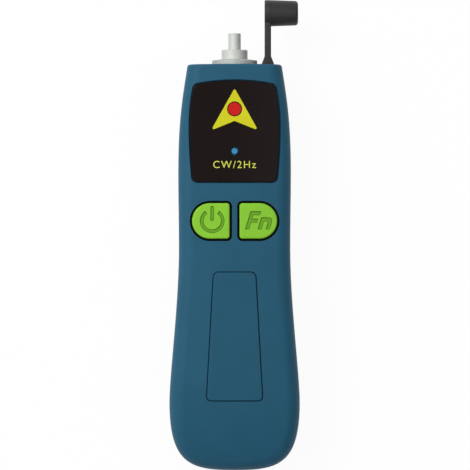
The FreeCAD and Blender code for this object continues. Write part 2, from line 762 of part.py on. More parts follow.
def switch_plunger(x):
    """The switch's own round button, under the key."""
    return post(PLUNGER_RADIUS, (PLUNGER_BOTTOM_Z, KEY_FLANGE_Z[0]), x, KEY_Y)


# ---------------------------------------------------------------- electronics
def main_board():
    """Circuit board screwed up against the front shell's posts."""
    low_y, high_y = BOARD_Y
    outline = rounded_face([(-BOARD_X, low_y, BOARD_CORNER), (BOARD_X, low_y, BOARD_CORNER),
                            (BOARD_X, high_y, BOARD_CORNER), (-BOARD_X, high_y, BOARD_CORNER)])
    board = prism(outline, *BOARD_Z)
    holes = [post(BOARD_SCREW_RADIUS + FIT_GAP, BOARD_Z, x, y)
             for x, y in both_sides(BOARD_SCREWS)]
    half_slot = TAB_HALF_WIDTH + FIT_GAP
    slots = [block((x - half_slot, x + half_slot), (TAB_Y[0] - FIT_GAP, TAB_Y[1] + FIT_GAP),
                   BOARD_Z) for x in (-CELL_X, CELL_X)]
    return board.cut(holes + slots)


def board_screws():
    """Small screws from under the board into the front shell."""
    radius, height = BOARD_SCREW_HEAD
    screws = []
    for x, y in both_sides(BOARD_SCREWS):
        head = post(radius, (BOARD_Z[0] - height, BOARD_Z[0]), x, y)
        shank = post(BOARD_SCREW_RADIUS, (BOARD_Z[0], BOARD_SCREW_TIP_Z), x, y)
        screws.append(joined([head, shank]))
    return Part.makeCompound(screws)


def indicator_led():
    """Small light on the board, under the light pipe."""
    base_x, half_y, base_height = LED_BASE
    lens_x, lens_height = LED_LENS
    top = BOARD_Z[1] + base_height
    base = block((-base_x, base_x), (LED_Y - half_y, LED_Y + half_y), (BOARD_Z[1], top))
    lens = block((-lens_x, lens_x), (LED_Y - half_y, LED_Y + half_y), (top, top + lens_height))
    return joined([base, lens])


def controller_chip():
    """Controller under the board, with four leads on each side."""
    top = BOARD_Z[0]
    parts = [block(CHIP_X, CHIP_Y, (top - CHIP_HEIGHT, top - CHIP_CLEARANCE))]
    for index in range(CHIP_LEADS):
        lead_y = CHIP_LEAD_Y + CHIP_PITCH * index
        parts.append(block(CHIP_SPAN_X, (lead_y - CHIP_LEAD_HALF, lead_y + CHIP_LEAD_HALF),
                           (top - CHIP_LEAD_HEIGHT, top)))
    return joined(parts)


def boost_inductor():
    """Coil of the supply that drives the laser."""
    x, y = INDUCTOR_PLACE
    half = INDUCTOR_BASE[0] / 2
    radius, height = INDUCTOR_DRUM
    base_low = BOARD_Z[0] - INDUCTOR_BASE[1]
    base = block((x - half, x + half), (y - half, y + half), (base_low, BOARD_Z[0]))
    drum = post(radius, (base_low - height, base_low), x, y)
    return joined([base, drum])


def board_capacitors():
    """Small capacitors under the board."""
    half_x, half_y, height = CAPACITOR_SIZE
    z = (BOARD_Z[0] - height, BOARD_Z[0])
    return Part.makeCompound([block((CAPACITOR_X - half_x, CAPACITOR_X + half_x),
                                    (y - half_y, y + half_y), z) for y in CAPACITOR_Y])


# ---------------------------------------------------------------- light port and laser
def chamfered(bar):
    """A bar along the body with its head-side edge broken."""
    edge = max(bar.Edges, key=lambda rim: rim.CenterOfMass.y)
    return bar.makeChamfer(PORT_CHAMFER, [edge])


def port_body():
    """Turned port: tube, step, thread, inner flange and tail, bored right through."""
    solid = joined([
        chamfered(round_bar(TUBE_RADIUS, (STEP_FACE_Y - 1, TUBE_END_Y))),
        chamfered(round_bar(STEP_RADIUS, (COLLAR_FACE_Y, STEP_FACE_Y))),
        round_bar(THREAD_RADIUS, (FLANGE_Y[0], COLLAR_FACE_Y)),
        round_bar(FLANGE_RADIUS, FLANGE_Y),
        round_bar(PORT_TAIL_RADIUS, (PORT_TAIL_Y, FLANGE_Y[0])),
    ])
    bores = [
        round_bar(BEAM_RADIUS, (PORT_TAIL_Y - 1, SLEEVE_Y[0] + 1)),
        round_bar(SLEEVE_RADII[0], (SLEEVE_Y[0] - FIT_GAP, SLEEVE_Y[1] + FIT_GAP)),
        round_bar(MOUTH_RADIUS, (SLEEVE_Y[1], TUBE_END_Y + 1)),
    ]
    return solid.cut(bores)


def port_collar():
    """Ring with a slightly coned face that draws the port up against the head wall."""
    edge_y = COLLAR_FACE_Y - COLLAR_DROP
    ring = round_bar(COLLAR_RADIUS, (Y_HEAD - 2, edge_y))
    cone = Part.makeCone(COLLAR_RADIUS, COLLAR_FLAT_RADIUS, COLLAR_DROP,
                         Vector(0, edge_y, PORT_Z), Vector(0, 1, 0))
    hole = round_bar(THREAD_RADIUS, (Y_HEAD - 3, COLLAR_FACE_Y + 1))
    return joined([ring, cone]).cut([hole, OUTER])


def ferrule_sleeve():
    """Split ceramic sleeve that lines up the fibre's ferrule."""
    tube = round_bar(SLEEVE_RADII[0], SLEEVE_Y)
    hole = round_bar(SLEEVE_RADII[1], (SLEEVE_Y[0] - 1, SLEEVE_Y[1] + 1))
    half_slit = SLEEVE_SLIT / 2
    slit = block((-half_slit, half_slit), (SLEEVE_Y[0] - 1, SLEEVE_Y[1] + 1), (PORT_Z, TALL))
    return tube.cut([hole, slit])


def laser_barrel():
    """Brass barrel behind the port, with a narrow seat for the diode at the back."""
    tube = round_bar(BARREL_RADIUS, BARREL_Y)
    wide = round_bar(BARREL_BORE, (DIODE_SEAT_Y + DIODE_CAN[1] + 1, BARREL_Y[1] + 1))
    narrow = round_bar(DIODE_CAN[0] + DIODE_CLEARANCE, (DIODE_SEAT_Y - 1, BARREL_Y[1]))
    seat = round_bar(DIODE_BASE[0], (BARREL_Y[0] - 1, DIODE_SEAT_Y))
    return tube.cut([wide, narrow, seat])


def laser_diode():
    """Laser diode in its can, with three leads bent up to the board."""
    base_radius, base_length = DIODE_BASE
    can_radius, can_length = DIODE_CAN
    base_y = DIODE_SEAT_Y - base_length
    base = round_bar(base_radius, (base_y, DIODE_SEAT_Y))
    can = round_bar(can_radius, (DIODE_SEAT_Y, DIODE_SEAT_Y + can_length))
    leads = []
    low_z = PORT_Z - LEAD_HALF
    for x in LEAD_X:
        side = (x - LEAD_HALF, x + LEAD_HALF)
        leads.append(block(side, (LEAD_BEND_Y, base_y), (low_z, PORT_Z + LEAD_HALF)))
        leads.append(block(side, (LEAD_BEND_Y, LEAD_BEND_Y + 2 * LEAD_HALF), (low_z, BOARD_Z[0])))
    return joined([base, can] + leads)


def focus_lens():
    """Glass lens with two curved faces and a straight edge."""
    half_edge = LENS_EDGE / 2
    drop = LENS_CURVE - math.sqrt(LENS_CURVE ** 2 - LENS_RADIUS ** 2)
    offset = LENS_CURVE - drop - half_edge
    front = Part.makeSphere(LENS_CURVE, Vector(0, LENS_Y - offset, PORT_Z))
    back = Part.makeSphere(LENS_CURVE, Vector(0, LENS_Y + offset, PORT_Z))
    rim = round_bar(LENS_RADIUS, (LENS_Y - LENS_CURVE, LENS_Y + LENS_CURVE))
    return front.common(back).common(rim)


def lens_ring():
    """Ring that holds the lens against the port's tail."""
    ring = round_bar(BARREL_BORE, (LENS_Y + LENS_EDGE / 2, PORT_TAIL_Y))
    opening = round_bar(LENS_RADIUS - LENS_SEAT, (LENS_Y, PORT_TAIL_Y + 1))
    return ring.cut([opening, focus_lens()])


# ---------------------------------------------------------------- tether and dust cap
def tether_root():
    """Rubber anchor, foot and lower strap, up to the place where the strap bends."""
    half_z = TETHER_WIDTH / 2
    half_x = TETHER_THICKNESS / 2
    foot = TETHER_FOOT / 2
    top_y = HINGE_Y - half_x - FIT_GAP
    foot_y = Y_HEAD - TETHER_FOOT_DEPTH
    profile = Part.Face(Part.makePolygon([
        Vector(TETHER_X - foot, foot_y, 0), Vector(TETHER_X + foot, foot_y, 0),
        Vector(TETHER_X + half_x, TETHER_NECK_Y, 0), Vector(TETHER_X + half_x, top_y, 0),
        Vector(TETHER_X - half_x, top_y, 0), Vector(TETHER_X - half_x, TETHER_NECK_Y, 0),
        Vector(TETHER_X - foot, foot_y, 0)]))
    strap = prism(profile, PORT_Z - half_z, PORT_Z + half_z).cut(OUTER)
    neck_x, neck_z = ANCHOR_NECK
    neck = block((TETHER_X - neck_x, TETHER_X + neck_x), (ANCHOR_Y[1] - 1, Y_HEAD),
                 (PORT_Z - neck_z, PORT_Z + neck_z))
    anchor = block((TETHER_X - ANCHOR_HALF, TETHER_X + ANCHOR_HALF), ANCHOR_Y,
                   (PORT_Z - ANCHOR_HALF, PORT_Z + ANCHOR_HALF))
    return joined([strap, neck, anchor])


def dust_cap():
    """Rubber cap with its mouth to the left, and the strap down to the bend."""
    half_x = TETHER_THICKNESS / 2
    half_z = TETHER_WIDTH / 2
    inward = Vector(1, 0, 0)
    mouth = Vector(CAP_X[0], CAP_Y, PORT_Z)
    flange = Part.makeCylinder(CAP_RADII[0], CAP_FLANGE, mouth, inward)
    barrel = Part.makeCone(CAP_RADII[0], CAP_RADII[1], CAP_X[1] - CAP_X[0], mouth, inward)
    closed_end = max(barrel.Edges, key=lambda edge: edge.CenterOfMass.x)
    barrel = barrel.makeFillet(CAP_END_ROUND, [closed_end])
    knuckle = post(half_x, (PORT_Z - half_z, PORT_Z + half_z), TETHER_X, HINGE_Y)
    strap = block((TETHER_X - half_x, TETHER_X + half_x), (HINGE_Y, CAP_Y),
                  (PORT_Z - half_z, PORT_Z + half_z))
    hollow = Part.makeCylinder(CAP_BORE, CAP_BORE_DEPTH, mouth, inward)
    return joined([flange, barrel, knuckle, strap]).cut(hollow)


# ---------------------------------------------------------------- batteries and contacts
def cell(x, flat_y, direction):
    """One round cell from its flat end, with its button end along a direction."""
    nub_radius, nub_height = CELL_NUB
    body_length = CELL_LENGTH - nub_height
    way = Vector(0, direction, 0)
    can = Part.makeCylinder(CELL_RADIUS, body_length, Vector(x, flat_y, CELL_Z), way)
    can = can.makeFillet(CELL_EDGE_ROUND, [edge for edge in can.Edges if edge.Closed])
    nub_start = Vector(x, flat_y + direction * (body_length - 1), CELL_Z)
    nub = Part.makeCylinder(nub_radius, nub_height + 1, nub_start, way)
    return joined([can, nub])


def battery_left():
    """Left cell, with its button end towards the head."""
    return cell(-CELL_X, HEAD_CONTACT_Y[0] - CELL_LENGTH, 1)


def battery_right():
    """Right cell, with its button end towards the tail."""
    return cell(CELL_X, TAIL_CONTACT_Y[1] + CELL_LENGTH, -1)


def contact_spring(x, y_low, y_high):
    """Pressed battery spring, as its turns lying against each other."""
    pitch = (y_high - y_low) / SPRING_TURNS
    turns = []
    for index in range(SPRING_TURNS):
        centre = Vector(x, y_low + pitch * (index + 0.5), CELL_Z)
        turns.append(Part.makeTorus(SPRING_RADIUS, pitch / 2 + SPRING_LAP, centre, Vector(0, 1, 0)))
    within = round_bar(CELL_RADIUS, (y_low, y_high), x, CELL_Z)
    return joined(turns).common(within)


def contact_plate(x_low, x_high, y):
    """Sheet-metal plate against a cross wall."""
    return block((x_low, x_high), y, (CELL_Z - CONTACT_HALF, CELL_Z + CONTACT_HALF))


def board_tab(x):
    """Strip from a contact over the cross wall and up into the board."""
    sides = (x - TAB_HALF_WIDTH, x + TAB_HALF_WIDTH)
    bend_z = RIB_TOP_Z + CONTACT_SHEET
    up = block(sides, HEAD_CONTACT_Y, (CELL_Z, bend_z))
    over = block(sides, (HEAD_CONTACT_Y[0], TAB_Y[1]), (RIB_TOP_Z, bend_z))
    pin = block(sides, TAB_Y, (RIB_TOP_Z, BOARD_Z[1] + PIN_LENGTH))
    return [up, over, pin]


def plus_contact():
    """Flat contact for the left cell's button end."""
    plate = contact_plate(-CELL_X - CONTACT_HALF, -CELL_X + CONTACT_HALF, HEAD_CONTACT_Y)
    return joined([plate] + board_tab(-CELL_X))


def minus_contact():
    """Spring contact for the right cell's flat end."""
    plate = contact_plate(CELL_X - CONTACT_HALF, CELL_X + CONTACT_HALF, HEAD_CONTACT_Y)
    spring = contact_spring(CELL_X, TAIL_CONTACT_Y[1] + CELL_LENGTH, HEAD_CONTACT_Y[0])
    return joined([plate, spring] + board_tab(CELL_X))


def bridge_contact():
    """Plate at the tail that joins the two cells, with a spring for the left one."""
    plate = contact_plate(-CELL_X - CONTACT_HALF, CELL_X + CONTACT_HALF, TAIL_CONTACT_Y)
    spring = contact_spring(-CELL_X, TAIL_CONTACT_Y[1], HEAD_CONTACT_Y[0] - CELL_LENGTH)
    return joined([plate, spring])


# ---------------------------------------------------------------- all the pieces
PIECES = {
    "front_shell": front_shell,
    "rear_shell": rear_shell,
    "battery_cover": battery_cover,
    "case_screws": case_screws,
    "window_panel": window_panel,
    "pointer_mark": pointer_mark,
    "light_dot": light_dot,
    "name_plate": name_plate,
    "light_pipe": light_pipe,
    "power_button": power_button,
    "fn_button": fn_button,
    "power_switch": lambda: tact_switch(-SWITCH_X),
    "fn_switch": lambda: tact_switch(SWITCH_X),
    "power_plunger": lambda: switch_plunger(-SWITCH_X),
    "fn_plunger": lambda: switch_plunger(SWITCH_X),
    "main_board": main_board,
    "board_screws": board_screws,
    "indicator_led": indicator_led,
    "controller_chip": controller_chip,
    "boost_inductor": boost_inductor,
    "board_capacitors": board_capacitors,
    "port_body": port_body,
    "port_collar": port_collar,
    "ferrule_sleeve": ferrule_sleeve,
    "laser_barrel": laser_barrel,
    "laser_diode": laser_diode,
    "focus_lens": focus_lens,
    "lens_ring": lens_ring,
    "tether_root": tether_root,
    "dust_cap": dust_cap,
    "battery_left": battery_left,
    "battery_right": battery_right,
    "plus_contact": plus_contact,
    "minus_contact": minus_contact,
    "bridge_contact": bridge_contact,
}

os.makedirs("parts", exist_ok=True)
for name, make in PIECES.items():
    make().exportStep(f"parts/{name}.step")
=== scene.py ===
"""Dresses a hand-held visual fault locator: moulded case, keys, window, light port and capped tether.

The tester lies on its back. +Z points out of its front face, +Y runs towards
the light port, and every size here is in metres.
"""
import json
import math
import bmesh
import bpy
from bpy.props import FloatProperty, FloatVectorProperty, PointerProperty
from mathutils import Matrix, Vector
from mathutils.bvhtree import BVHTree


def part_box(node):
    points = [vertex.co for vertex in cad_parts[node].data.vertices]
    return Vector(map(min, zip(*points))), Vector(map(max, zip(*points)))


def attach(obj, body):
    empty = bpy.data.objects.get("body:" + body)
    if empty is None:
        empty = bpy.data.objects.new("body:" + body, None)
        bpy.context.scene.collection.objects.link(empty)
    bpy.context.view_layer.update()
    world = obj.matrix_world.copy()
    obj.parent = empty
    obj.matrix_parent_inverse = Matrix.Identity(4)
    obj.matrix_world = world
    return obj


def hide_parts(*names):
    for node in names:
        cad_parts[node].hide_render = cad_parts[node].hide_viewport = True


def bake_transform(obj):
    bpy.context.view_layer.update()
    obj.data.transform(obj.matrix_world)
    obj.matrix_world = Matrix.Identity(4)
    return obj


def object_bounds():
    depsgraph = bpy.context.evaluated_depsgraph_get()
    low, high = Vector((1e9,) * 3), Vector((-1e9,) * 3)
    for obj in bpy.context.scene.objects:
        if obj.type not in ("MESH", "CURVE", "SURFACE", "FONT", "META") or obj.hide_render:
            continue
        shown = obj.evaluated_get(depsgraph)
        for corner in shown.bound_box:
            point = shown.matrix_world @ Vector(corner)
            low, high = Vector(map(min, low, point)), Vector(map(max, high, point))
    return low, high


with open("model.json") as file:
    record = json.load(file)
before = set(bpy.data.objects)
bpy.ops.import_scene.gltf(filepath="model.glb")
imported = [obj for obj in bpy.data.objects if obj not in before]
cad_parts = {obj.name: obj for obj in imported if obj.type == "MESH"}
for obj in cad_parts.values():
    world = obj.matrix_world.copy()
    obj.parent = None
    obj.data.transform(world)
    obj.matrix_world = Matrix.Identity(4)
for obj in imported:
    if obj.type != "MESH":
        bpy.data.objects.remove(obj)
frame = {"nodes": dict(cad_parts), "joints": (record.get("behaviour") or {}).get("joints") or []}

bl_info = {
    "name": "Fault locator dresser",
    "version": (1, 0, 0),
    "blender": (4, 5, 0),
    "location": "3D View > Sidebar > Fault locator",
    "description": "Finishes and small pieces of a hand-held visual fault locator",
    "category": "Object",
}

MM = 0.001
BOX_LOW, BOX_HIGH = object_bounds()
NODES = frame["nodes"]
MERGE = 0.001 * MM
# Depths under a key's top between which painted shade darkens the key's sides where they go down into their
# wells.
KEY_PAINTED_SHADE_START = 0.8 * MM
KEY_PAINTED_SHADE_FULL = 1.5 * MM
CASE_SCREW_PLACES = ((11.0 * MM, 44.0 * MM), (16.0 * MM, -39.0 * MM))
CASE_SCREW_HEAD = 1.6 * MM
BOARD_SCREW_PLACES = ((11.0 * MM, -9.5 * MM), (11.0 * MM, 26.0 * MM))
BOARD_SCREW_HEAD = 1.3 * MM
SWITCH_PIN_SPREAD = (3.2 * MM, 2.25 * MM)
COIL_TURNS = 7
COIL_RADIUS = 2.72 * MM
COIL_FOOT = 0.2 * MM
TABLE_DROP = 0.05 * MM
CAMERA_X = 0.13 * MM
FOCUS_HEIGHT = 12 * MM

# The keys' tops fall by CROWN * x * x to each side of the middle line.
FACE_REACH = 18.0 * MM
FACE_FALL = 1.1 * MM
CROWN = FACE_FALL / FACE_REACH ** 2

# How the keys' sunk symbols are told from the faces round them. LEVEL and UPRIGHT are limits on the
# height of a face's normal, and SAME_WALL and WIDEST_MITRE on how far two directions point alike.
SYMBOL_DEPTH = 1.3 * MM
SMALLEST_SYMBOL = MM * MM
LEVEL = 0.8
UPRIGHT = 0.5
SAME_WALL = 0.985
WIDEST_MITRE = 0.5
# Material slots of the sunk symbols' floors and walls, which carry painted shade.
FLOOR_SHADE_SLOT, WALL_SHADE_SLOT = 1, 2

# A screw's dome, recess and thread, as shares of its head's height or of its radius.
DOME = 0.3
RECESS_WIDTH = 0.3
RECESS_LENGTH = 1.25
RECESS_HEIGHT = 1.1
PITCH = 0.75
THREAD = 0.14

# The part of the range from 0 to 1 in which most values of a noise lie.
NOISE_LOW = 0.3
NOISE_HIGH = 0.7


# ---------------------------------------------------------------- properties
def colour(name, description, value):
    """A colour property, written as it should look under plain light."""
    return FloatVectorProperty(name=name, description=description, default=value,
                               subtype="COLOR_GAMMA", size=3, min=0.0, max=1.0)


def length(name, description, value):
    """A length property."""
    return FloatProperty(name=name, description=description, default=value,
                         unit="LENGTH", subtype="DISTANCE", precision=5)


class TesterColours(bpy.types.PropertyGroup):
    """Colours of the tester's pieces."""
    case: colour("Case", "Moulded shells, cover and name plate", (0.13, 0.335, 0.43))
    window: colour("Window", "Dark display window", (0.085, 0.05, 0.045))
    mark: colour("Mark", "Arrowhead on the window", (0.80, 0.79, 0.13))
    spot: colour("Spot", "Round spot in the arrowhead", (0.76, 0.11, 0.10))
    legend: colour("Legend", "Lettering under the indicator", (0.82, 0.84, 0.33))
    light: colour("Light", "Indicator's light pipe", (0.19, 0.48, 0.66))
    key: colour("Key", "Rubber keys", (0.515, 0.76, 0.19))
    # The engraving colour is the key green darkened: painted shade on the floors of the sunk symbols.
    engraving: colour("Engraving", "Floors of the sunk symbols on the keys", (0.42, 0.64, 0.16))
    port: colour("Port", "Turned light port", (0.80, 0.81, 0.79))
    rubber: colour("Rubber", "Tether and dust cap", (0.15, 0.15, 0.15))
    board: colour("Board", "Solder mask of the circuit board", (0.07, 0.34, 0.19))
    brass: colour("Brass", "Laser barrel and lens ring", (0.77, 0.62, 0.33))
    jacket: colour("Jacket", "Printed jacket of the cells", (0.20, 0.21, 0.23))


class TesterSizes(bpy.types.PropertyGroup):
    """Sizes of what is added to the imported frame."""
    grain: length("Case grain", "Size of the case's moulded grain", 0.45 * MM)
    legend_height: length("Legend height", "Height of the legend's capitals", 2.3 * MM)
    legend_y: length("Legend place", "Foot of the legend's capitals along the body", 21.3 * MM)
    legend_width: length("Legend width", "Overall width of the legend", 13.6 * MM)
    lit_radius: length("Lit radius", "Radius of the lit middle of the indicator", 0.88 * MM)
    engraving_draft: length("Engraving draft", "How far the sunk symbols' walls lean in", 0.2 * MM)
    ink: length("Ink", "Thickness of printed ink", 0.03 * MM)
    strap_width: length("Strap width", "Width of the tether's strap", 6.0 * MM)
    strap_thickness: length("Strap thickness", "Thickness of the tether's strap", 2.06 * MM)
    strap_neck: length("Strap neck", "Straight strap below the tether's bend", 3.15 * MM)
    strap_foot: length("Strap foot", "Thickness of the tether where it leaves the case", 4.1 * MM)
    screw_radius: length("Case screw", "Radius of the case screws' shanks", 1.1 * MM)
    screw_head: length("Screw head", "Radius of the case screws' heads", 2.05 * MM)
    small_screw: length("Board screw", "Radius of the board screws' shanks", 0.9 * MM)
    small_head: length("Board screw head", "Radius of the board screws' heads", 1.75 * MM)
    wire: length("Coil wire", "Radius of the coil's copper wire", 0.16 * MM)
    camera_height: length("Camera height", "Height of the camera above the table", 1.8)
    view_width: length("View width", "Width that the camera takes in", 150.4 * MM)


def settings():
    """The scene's two property groups."""
    scene = bpy.context.scene
    return scene.tester_colours, scene.tester_sizes


# ---------------------------------------------------------------- shader helpers
def linear(value):
    """A written colour as linear RGBA."""
    channels = [c / 12.92 if c <= 0.04045 else ((c + 0.055) / 1.055) ** 2.4 for c in value]
    return (*channels, 1.0)


def scaled(value, factor):
    """A written colour, made darker or lighter."""
    return tuple(min(1.0, c * factor) for c in value)


class Nodes:
    """A node tree, with short ways to add nodes to it."""

    def __init__(self, tree):
        """Takes over a tree and empties it."""
        self.tree = tree
        self.tree.nodes.clear()

    def link(self, source, target):
        """Joins an output to an input."""
        self.tree.links.new(source, target)

    def node(self, kind, inputs=None, **values):
        """A new node; inputs are values, outputs or lists of outputs, by socket name or number."""
        node = self.tree.nodes.new(kind)
        for key, value in values.items():
            setattr(node, key, value)
        for key, value in (inputs or {}).items():
            for source in value if isinstance(value, list) else [value]:
                if isinstance(source, bpy.types.NodeSocket):
                    self.link(source, node.inputs[key])
                else:
                    node.inputs[key].default_value = source
        return node

    def maths(self, operation, *values):
        """The result of one maths step."""
        return self.node("ShaderNodeMath", dict(enumerate(values)), operation=operation).outputs[0]


class Shader(Nodes):
    """A material on one Principled shader."""

    def __init__(self, name, **values):
        """Starts the material; values are sockets in lower case with underscores."""
        self.material = bpy.data.materials.new(name)
        self.material.use_nodes = True
        super().__init__(self.material.node_tree)
        self.output = self.node("ShaderNodeOutputMaterial")
        self.principled = self.node("ShaderNodeBsdfPrincipled")
        self.link(self.principled.outputs["BSDF"], self.output.inputs["Surface"])
        self.coordinates = self.node("ShaderNodeTexCoord").outputs["Object"]
        for socket, value in values.items():
            label = socket.replace("_", " ").title().replace("Ior", "IOR")
            self.principled.inputs[label].default_value = value

    def noise(self, size, detail=2.0, roughness=0.5, stretch=None):
        """Noise whose grains are about size across, between 0 and 1."""
        vector = self.coordinates
        if stretch:
            vector = self.node("ShaderNodeMapping", {"Vector": vector, "Scale": stretch}).outputs[0]
        return self.node("ShaderNodeTexNoise", {"Vector": vector, "Scale": 1.0 / size, "Detail": detail,
                                                "Roughness": roughness}).outputs[0]

    def ramp(self, value, low, high, from_value=0.0, to_value=1.0):
        """value moved from one range to another, without going past its ends."""
        return self.node("ShaderNodeMapRange", {"Value": value, "From Min": low, "From Max": high,
                                                "To Min": from_value, "To Max": to_value}).outputs[0]

    def spread(self, noise, low, high):
        """A noise's usual values, moved to a range of their own."""
        return self.ramp(noise, NOISE_LOW, NOISE_HIGH, low, high)

    def mix(self, factor, first, second):
        """A blend of two colours, written or from other nodes."""
        return self.node("ShaderNodeMix", {0: factor, 6: first, 7: second}, data_type="RGBA").outputs[2]

    def shades(self, noise, tone, darkest, lightest):
        """A written colour that a noise makes darker and lighter."""
        return self.mix(noise, linear(scaled(tone, darkest)), linear(scaled(tone, lightest)))

    def axis(self, name):
        """One of the object coordinates: X, Y or Z."""
        return self.node("ShaderNodeSeparateXYZ", {0: self.coordinates}).outputs[name]

    def square(self, value):
        """A value times itself."""
        return self.maths("MULTIPLY", value, value)

    def past(self, name, middle, reach, soft=0.05 * MM):
        """1 where an object coordinate is further than reach from middle, else 0."""
        distance = self.maths("ABSOLUTE", self.maths("SUBTRACT", self.axis(name), middle))
        return self.ramp(distance, reach - soft, reach + soft)

    def set(self, socket, value):
        """Links or sets one socket of the shader."""
        if isinstance(value, bpy.types.NodeSocket):
            self.link(value, self.principled.inputs[socket])
        else:
            self.principled.inputs[socket].default_value = value

    def bump(self, height, distance):
        """Relief of that real depth."""
        bump = self.node("ShaderNodeBump", {"Height": height, "Distance": distance})
        self.link(bump.outputs[0], self.principled.inputs["Normal"])


def moulded(name, tone, grain, roughness=0.5, specular=0.25, depth=0.012 * MM):
    """Moulded material with a fine spark-eroded grain and slight unevenness of tone."""
    shader = Shader(name, specular_ior_level=specular)
    cloud = shader.noise(9 * MM, detail=3.0)
    fine = shader.noise(grain, detail=3.0, roughness=0.6)
    tones = shader.shades(cloud, tone, 0.95, 1.05)
    specks = shader.spread(fine, 0.0, 0.12)
    shader.set("Base Color", shader.mix(specks, tones, linear(scaled(tone, 0.86))))
    shader.set("Roughness", shader.spread(fine, roughness - 0.05, roughness + 0.07))
    shader.bump(fine, depth)
    return shader.material


def key_rubber(name, tone, top_z):
    """Silicone rubber with painted shade, which darkens it where the key goes down into its well."""
    shader = Shader(name, specular_ior_level=0.2)
    fine = shader.noise(0.3 * MM, detail=3.0, roughness=0.6)
    cloud = shader.noise(6 * MM)
    crown = shader.maths("MULTIPLY", shader.square(shader.axis("X")), CROWN)
    height = shader.maths("ADD", shader.axis("Z"), crown)
    # Painted shade: below its top the key fades to a dark copy of its green, where its sides go down into
    # the well.
    lit = shader.ramp(height, top_z - KEY_PAINTED_SHADE_FULL, top_z - KEY_PAINTED_SHADE_START)
    tones = shader.shades(cloud, tone, 0.97, 1.03)
    shader.set("Base Color", shader.mix(lit, linear(scaled(tone, 0.16)), tones))
    shader.set("Roughness", shader.spread(fine, 0.5, 0.62))
    shader.bump(fine, 0.01 * MM)
    return shader.material


def turned(name, tone, roughness=0.3, metallic=1.0, stretch=(1.0, 30.0, 1.0)):
    """Turned or drawn metal, with fine tool lines round or along it."""
    shader = Shader(name, metallic=metallic)
    lines = shader.noise(1.5 * MM, detail=4.0, roughness=0.7, stretch=stretch)
    cloud = shader.noise(3 * MM)
    shader.set("Base Color", shader.shades(lines, tone, 0.94, 1.03))
    shader.set("Roughness", shader.spread(cloud, roughness - 0.05, roughness + 0.08))
    shader.bump(lines, 0.004 * MM)
    return shader.material


def tipped(name, node, body_tone, end_tone, half_body):
    """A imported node's moulded body, with bright metal at both its ends along X."""
    shader = Shader(name)
    ends = shader.past("X", middle_of(node).x, half_body)
    grain = shader.noise(0.25 * MM, detail=3.0)
    body = shader.shades(grain, body_tone, 0.92, 1.08)
    metal = shader.shades(grain, end_tone, 0.94, 1.04)
    shader.set("Base Color", shader.mix(ends, body, metal))
    shader.set("Metallic", ends)
    shader.set("Roughness", shader.spread(grain, 0.39, 0.51))
    shader.bump(grain, 0.006 * MM)
    return shader.material


def clear(name, tone, roughness):
    """Clear glass, with a faint unevenness in its polish."""
    shader = Shader(name, transmission_weight=0.9, ior=1.49)
    cloud = shader.noise(0.8 * MM)
    shader.set("Base Color", shader.shades(cloud, tone, 0.97, 1.0))
    shader.set("Roughness", shader.spread(cloud, roughness, roughness + 0.03))
    shader.bump(cloud, 0.001 * MM)
    return shader.material


def dress(material, *nodes):
    """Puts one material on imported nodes."""
    for node in nodes:
        for slot in NODES[node].material_slots:
            slot.material = material


# ---------------------------------------------------------------- mesh helpers
def new_piece(name, mesh, materials, body, nodes=()):
    """A finished object on its body; a mesh that already has materials keeps them."""
    piece = bpy.data.objects.new(name, mesh)
    bpy.context.scene.collection.objects.link(piece)
    if not mesh.materials:
        for material in materials:
            mesh.materials.append(material)
    if body:
        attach(piece, body)
    if nodes:
        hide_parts(*nodes)
    return piece


def middle_of(node):
    """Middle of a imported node's box."""
    low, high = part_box(node)
    return (low + high) / 2


def surface_under(node):
    """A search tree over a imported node's faces."""
    mesh = NODES[node].data
    return BVHTree.FromPolygons([v.co for v in mesh.vertices], [p.vertices for p in mesh.polygons])


def surface_height(tree, x, y):
    """Height of the topmost face of a search tree over one point."""
    hit = tree.ray_cast(Vector((x, y, BOX_HIGH.z + 10 * MM)), Vector((0, 0, -1)))[0]
    if hit is None:
        raise RuntimeError("nothing lies under (%.4f, %.4f)" % (x, y))
    return hit.z


def smooth(mesh, degrees=35.0):
    """Smooth shading, with edges sharper than an angle kept crisp."""
    for face in mesh.polygons:
        face.use_smooth = True
    mesh.set_sharp_from_angle(angle=math.radians(degrees))


def rounding(x, r, radius, start, end, steps=6):
    """Points of an arc in a profile, about (x, r), between two angles in degrees."""
    angles = [math.radians(start + (end - start) * step / steps) for step in range(steps + 1)]
    return [(x + radius * math.cos(angle), r + radius * math.sin(angle)) for angle in angles]


def lathe(name, profile, centre, steps=64):
    """A closed mesh from (along X, radius) points turned about an axis that runs along X."""
    build = bmesh.new()
    for along, radius in profile:
        build.verts.new((along, radius, 0.0))
    build.verts.ensure_lookup_table()
    for first, second in zip(build.verts[:-1], build.verts[1:]):
        build.edges.new((first, second))
    bmesh.ops.spin(build, geom=build.verts[:] + build.edges[:], cent=(0, 0, 0), axis=(1, 0, 0),
                   angle=math.tau, steps=steps, use_merge=True)
    bmesh.ops.remove_doubles(build, verts=build.verts, dist=MERGE)
    bmesh.ops.recalc_face_normals(build, faces=build.faces)
    bmesh.ops.translate(build, verts=build.verts, vec=centre)
    mesh = bpy.data.meshes.new(name)
    build.to_mesh(mesh)
    build.free()
    smooth(mesh)
    return mesh


def points_mesh(name, places):
    """A mesh of loose points."""
    mesh = bpy.data.meshes.new(name)
    mesh.from_pydata(places, [], [])
    return mesh


def both_sides(places, z):
    """Each (x, y) place and its mirror image, at one height."""
    return [(side * x, y, z) for x, y in places for side in (-1, 1)]


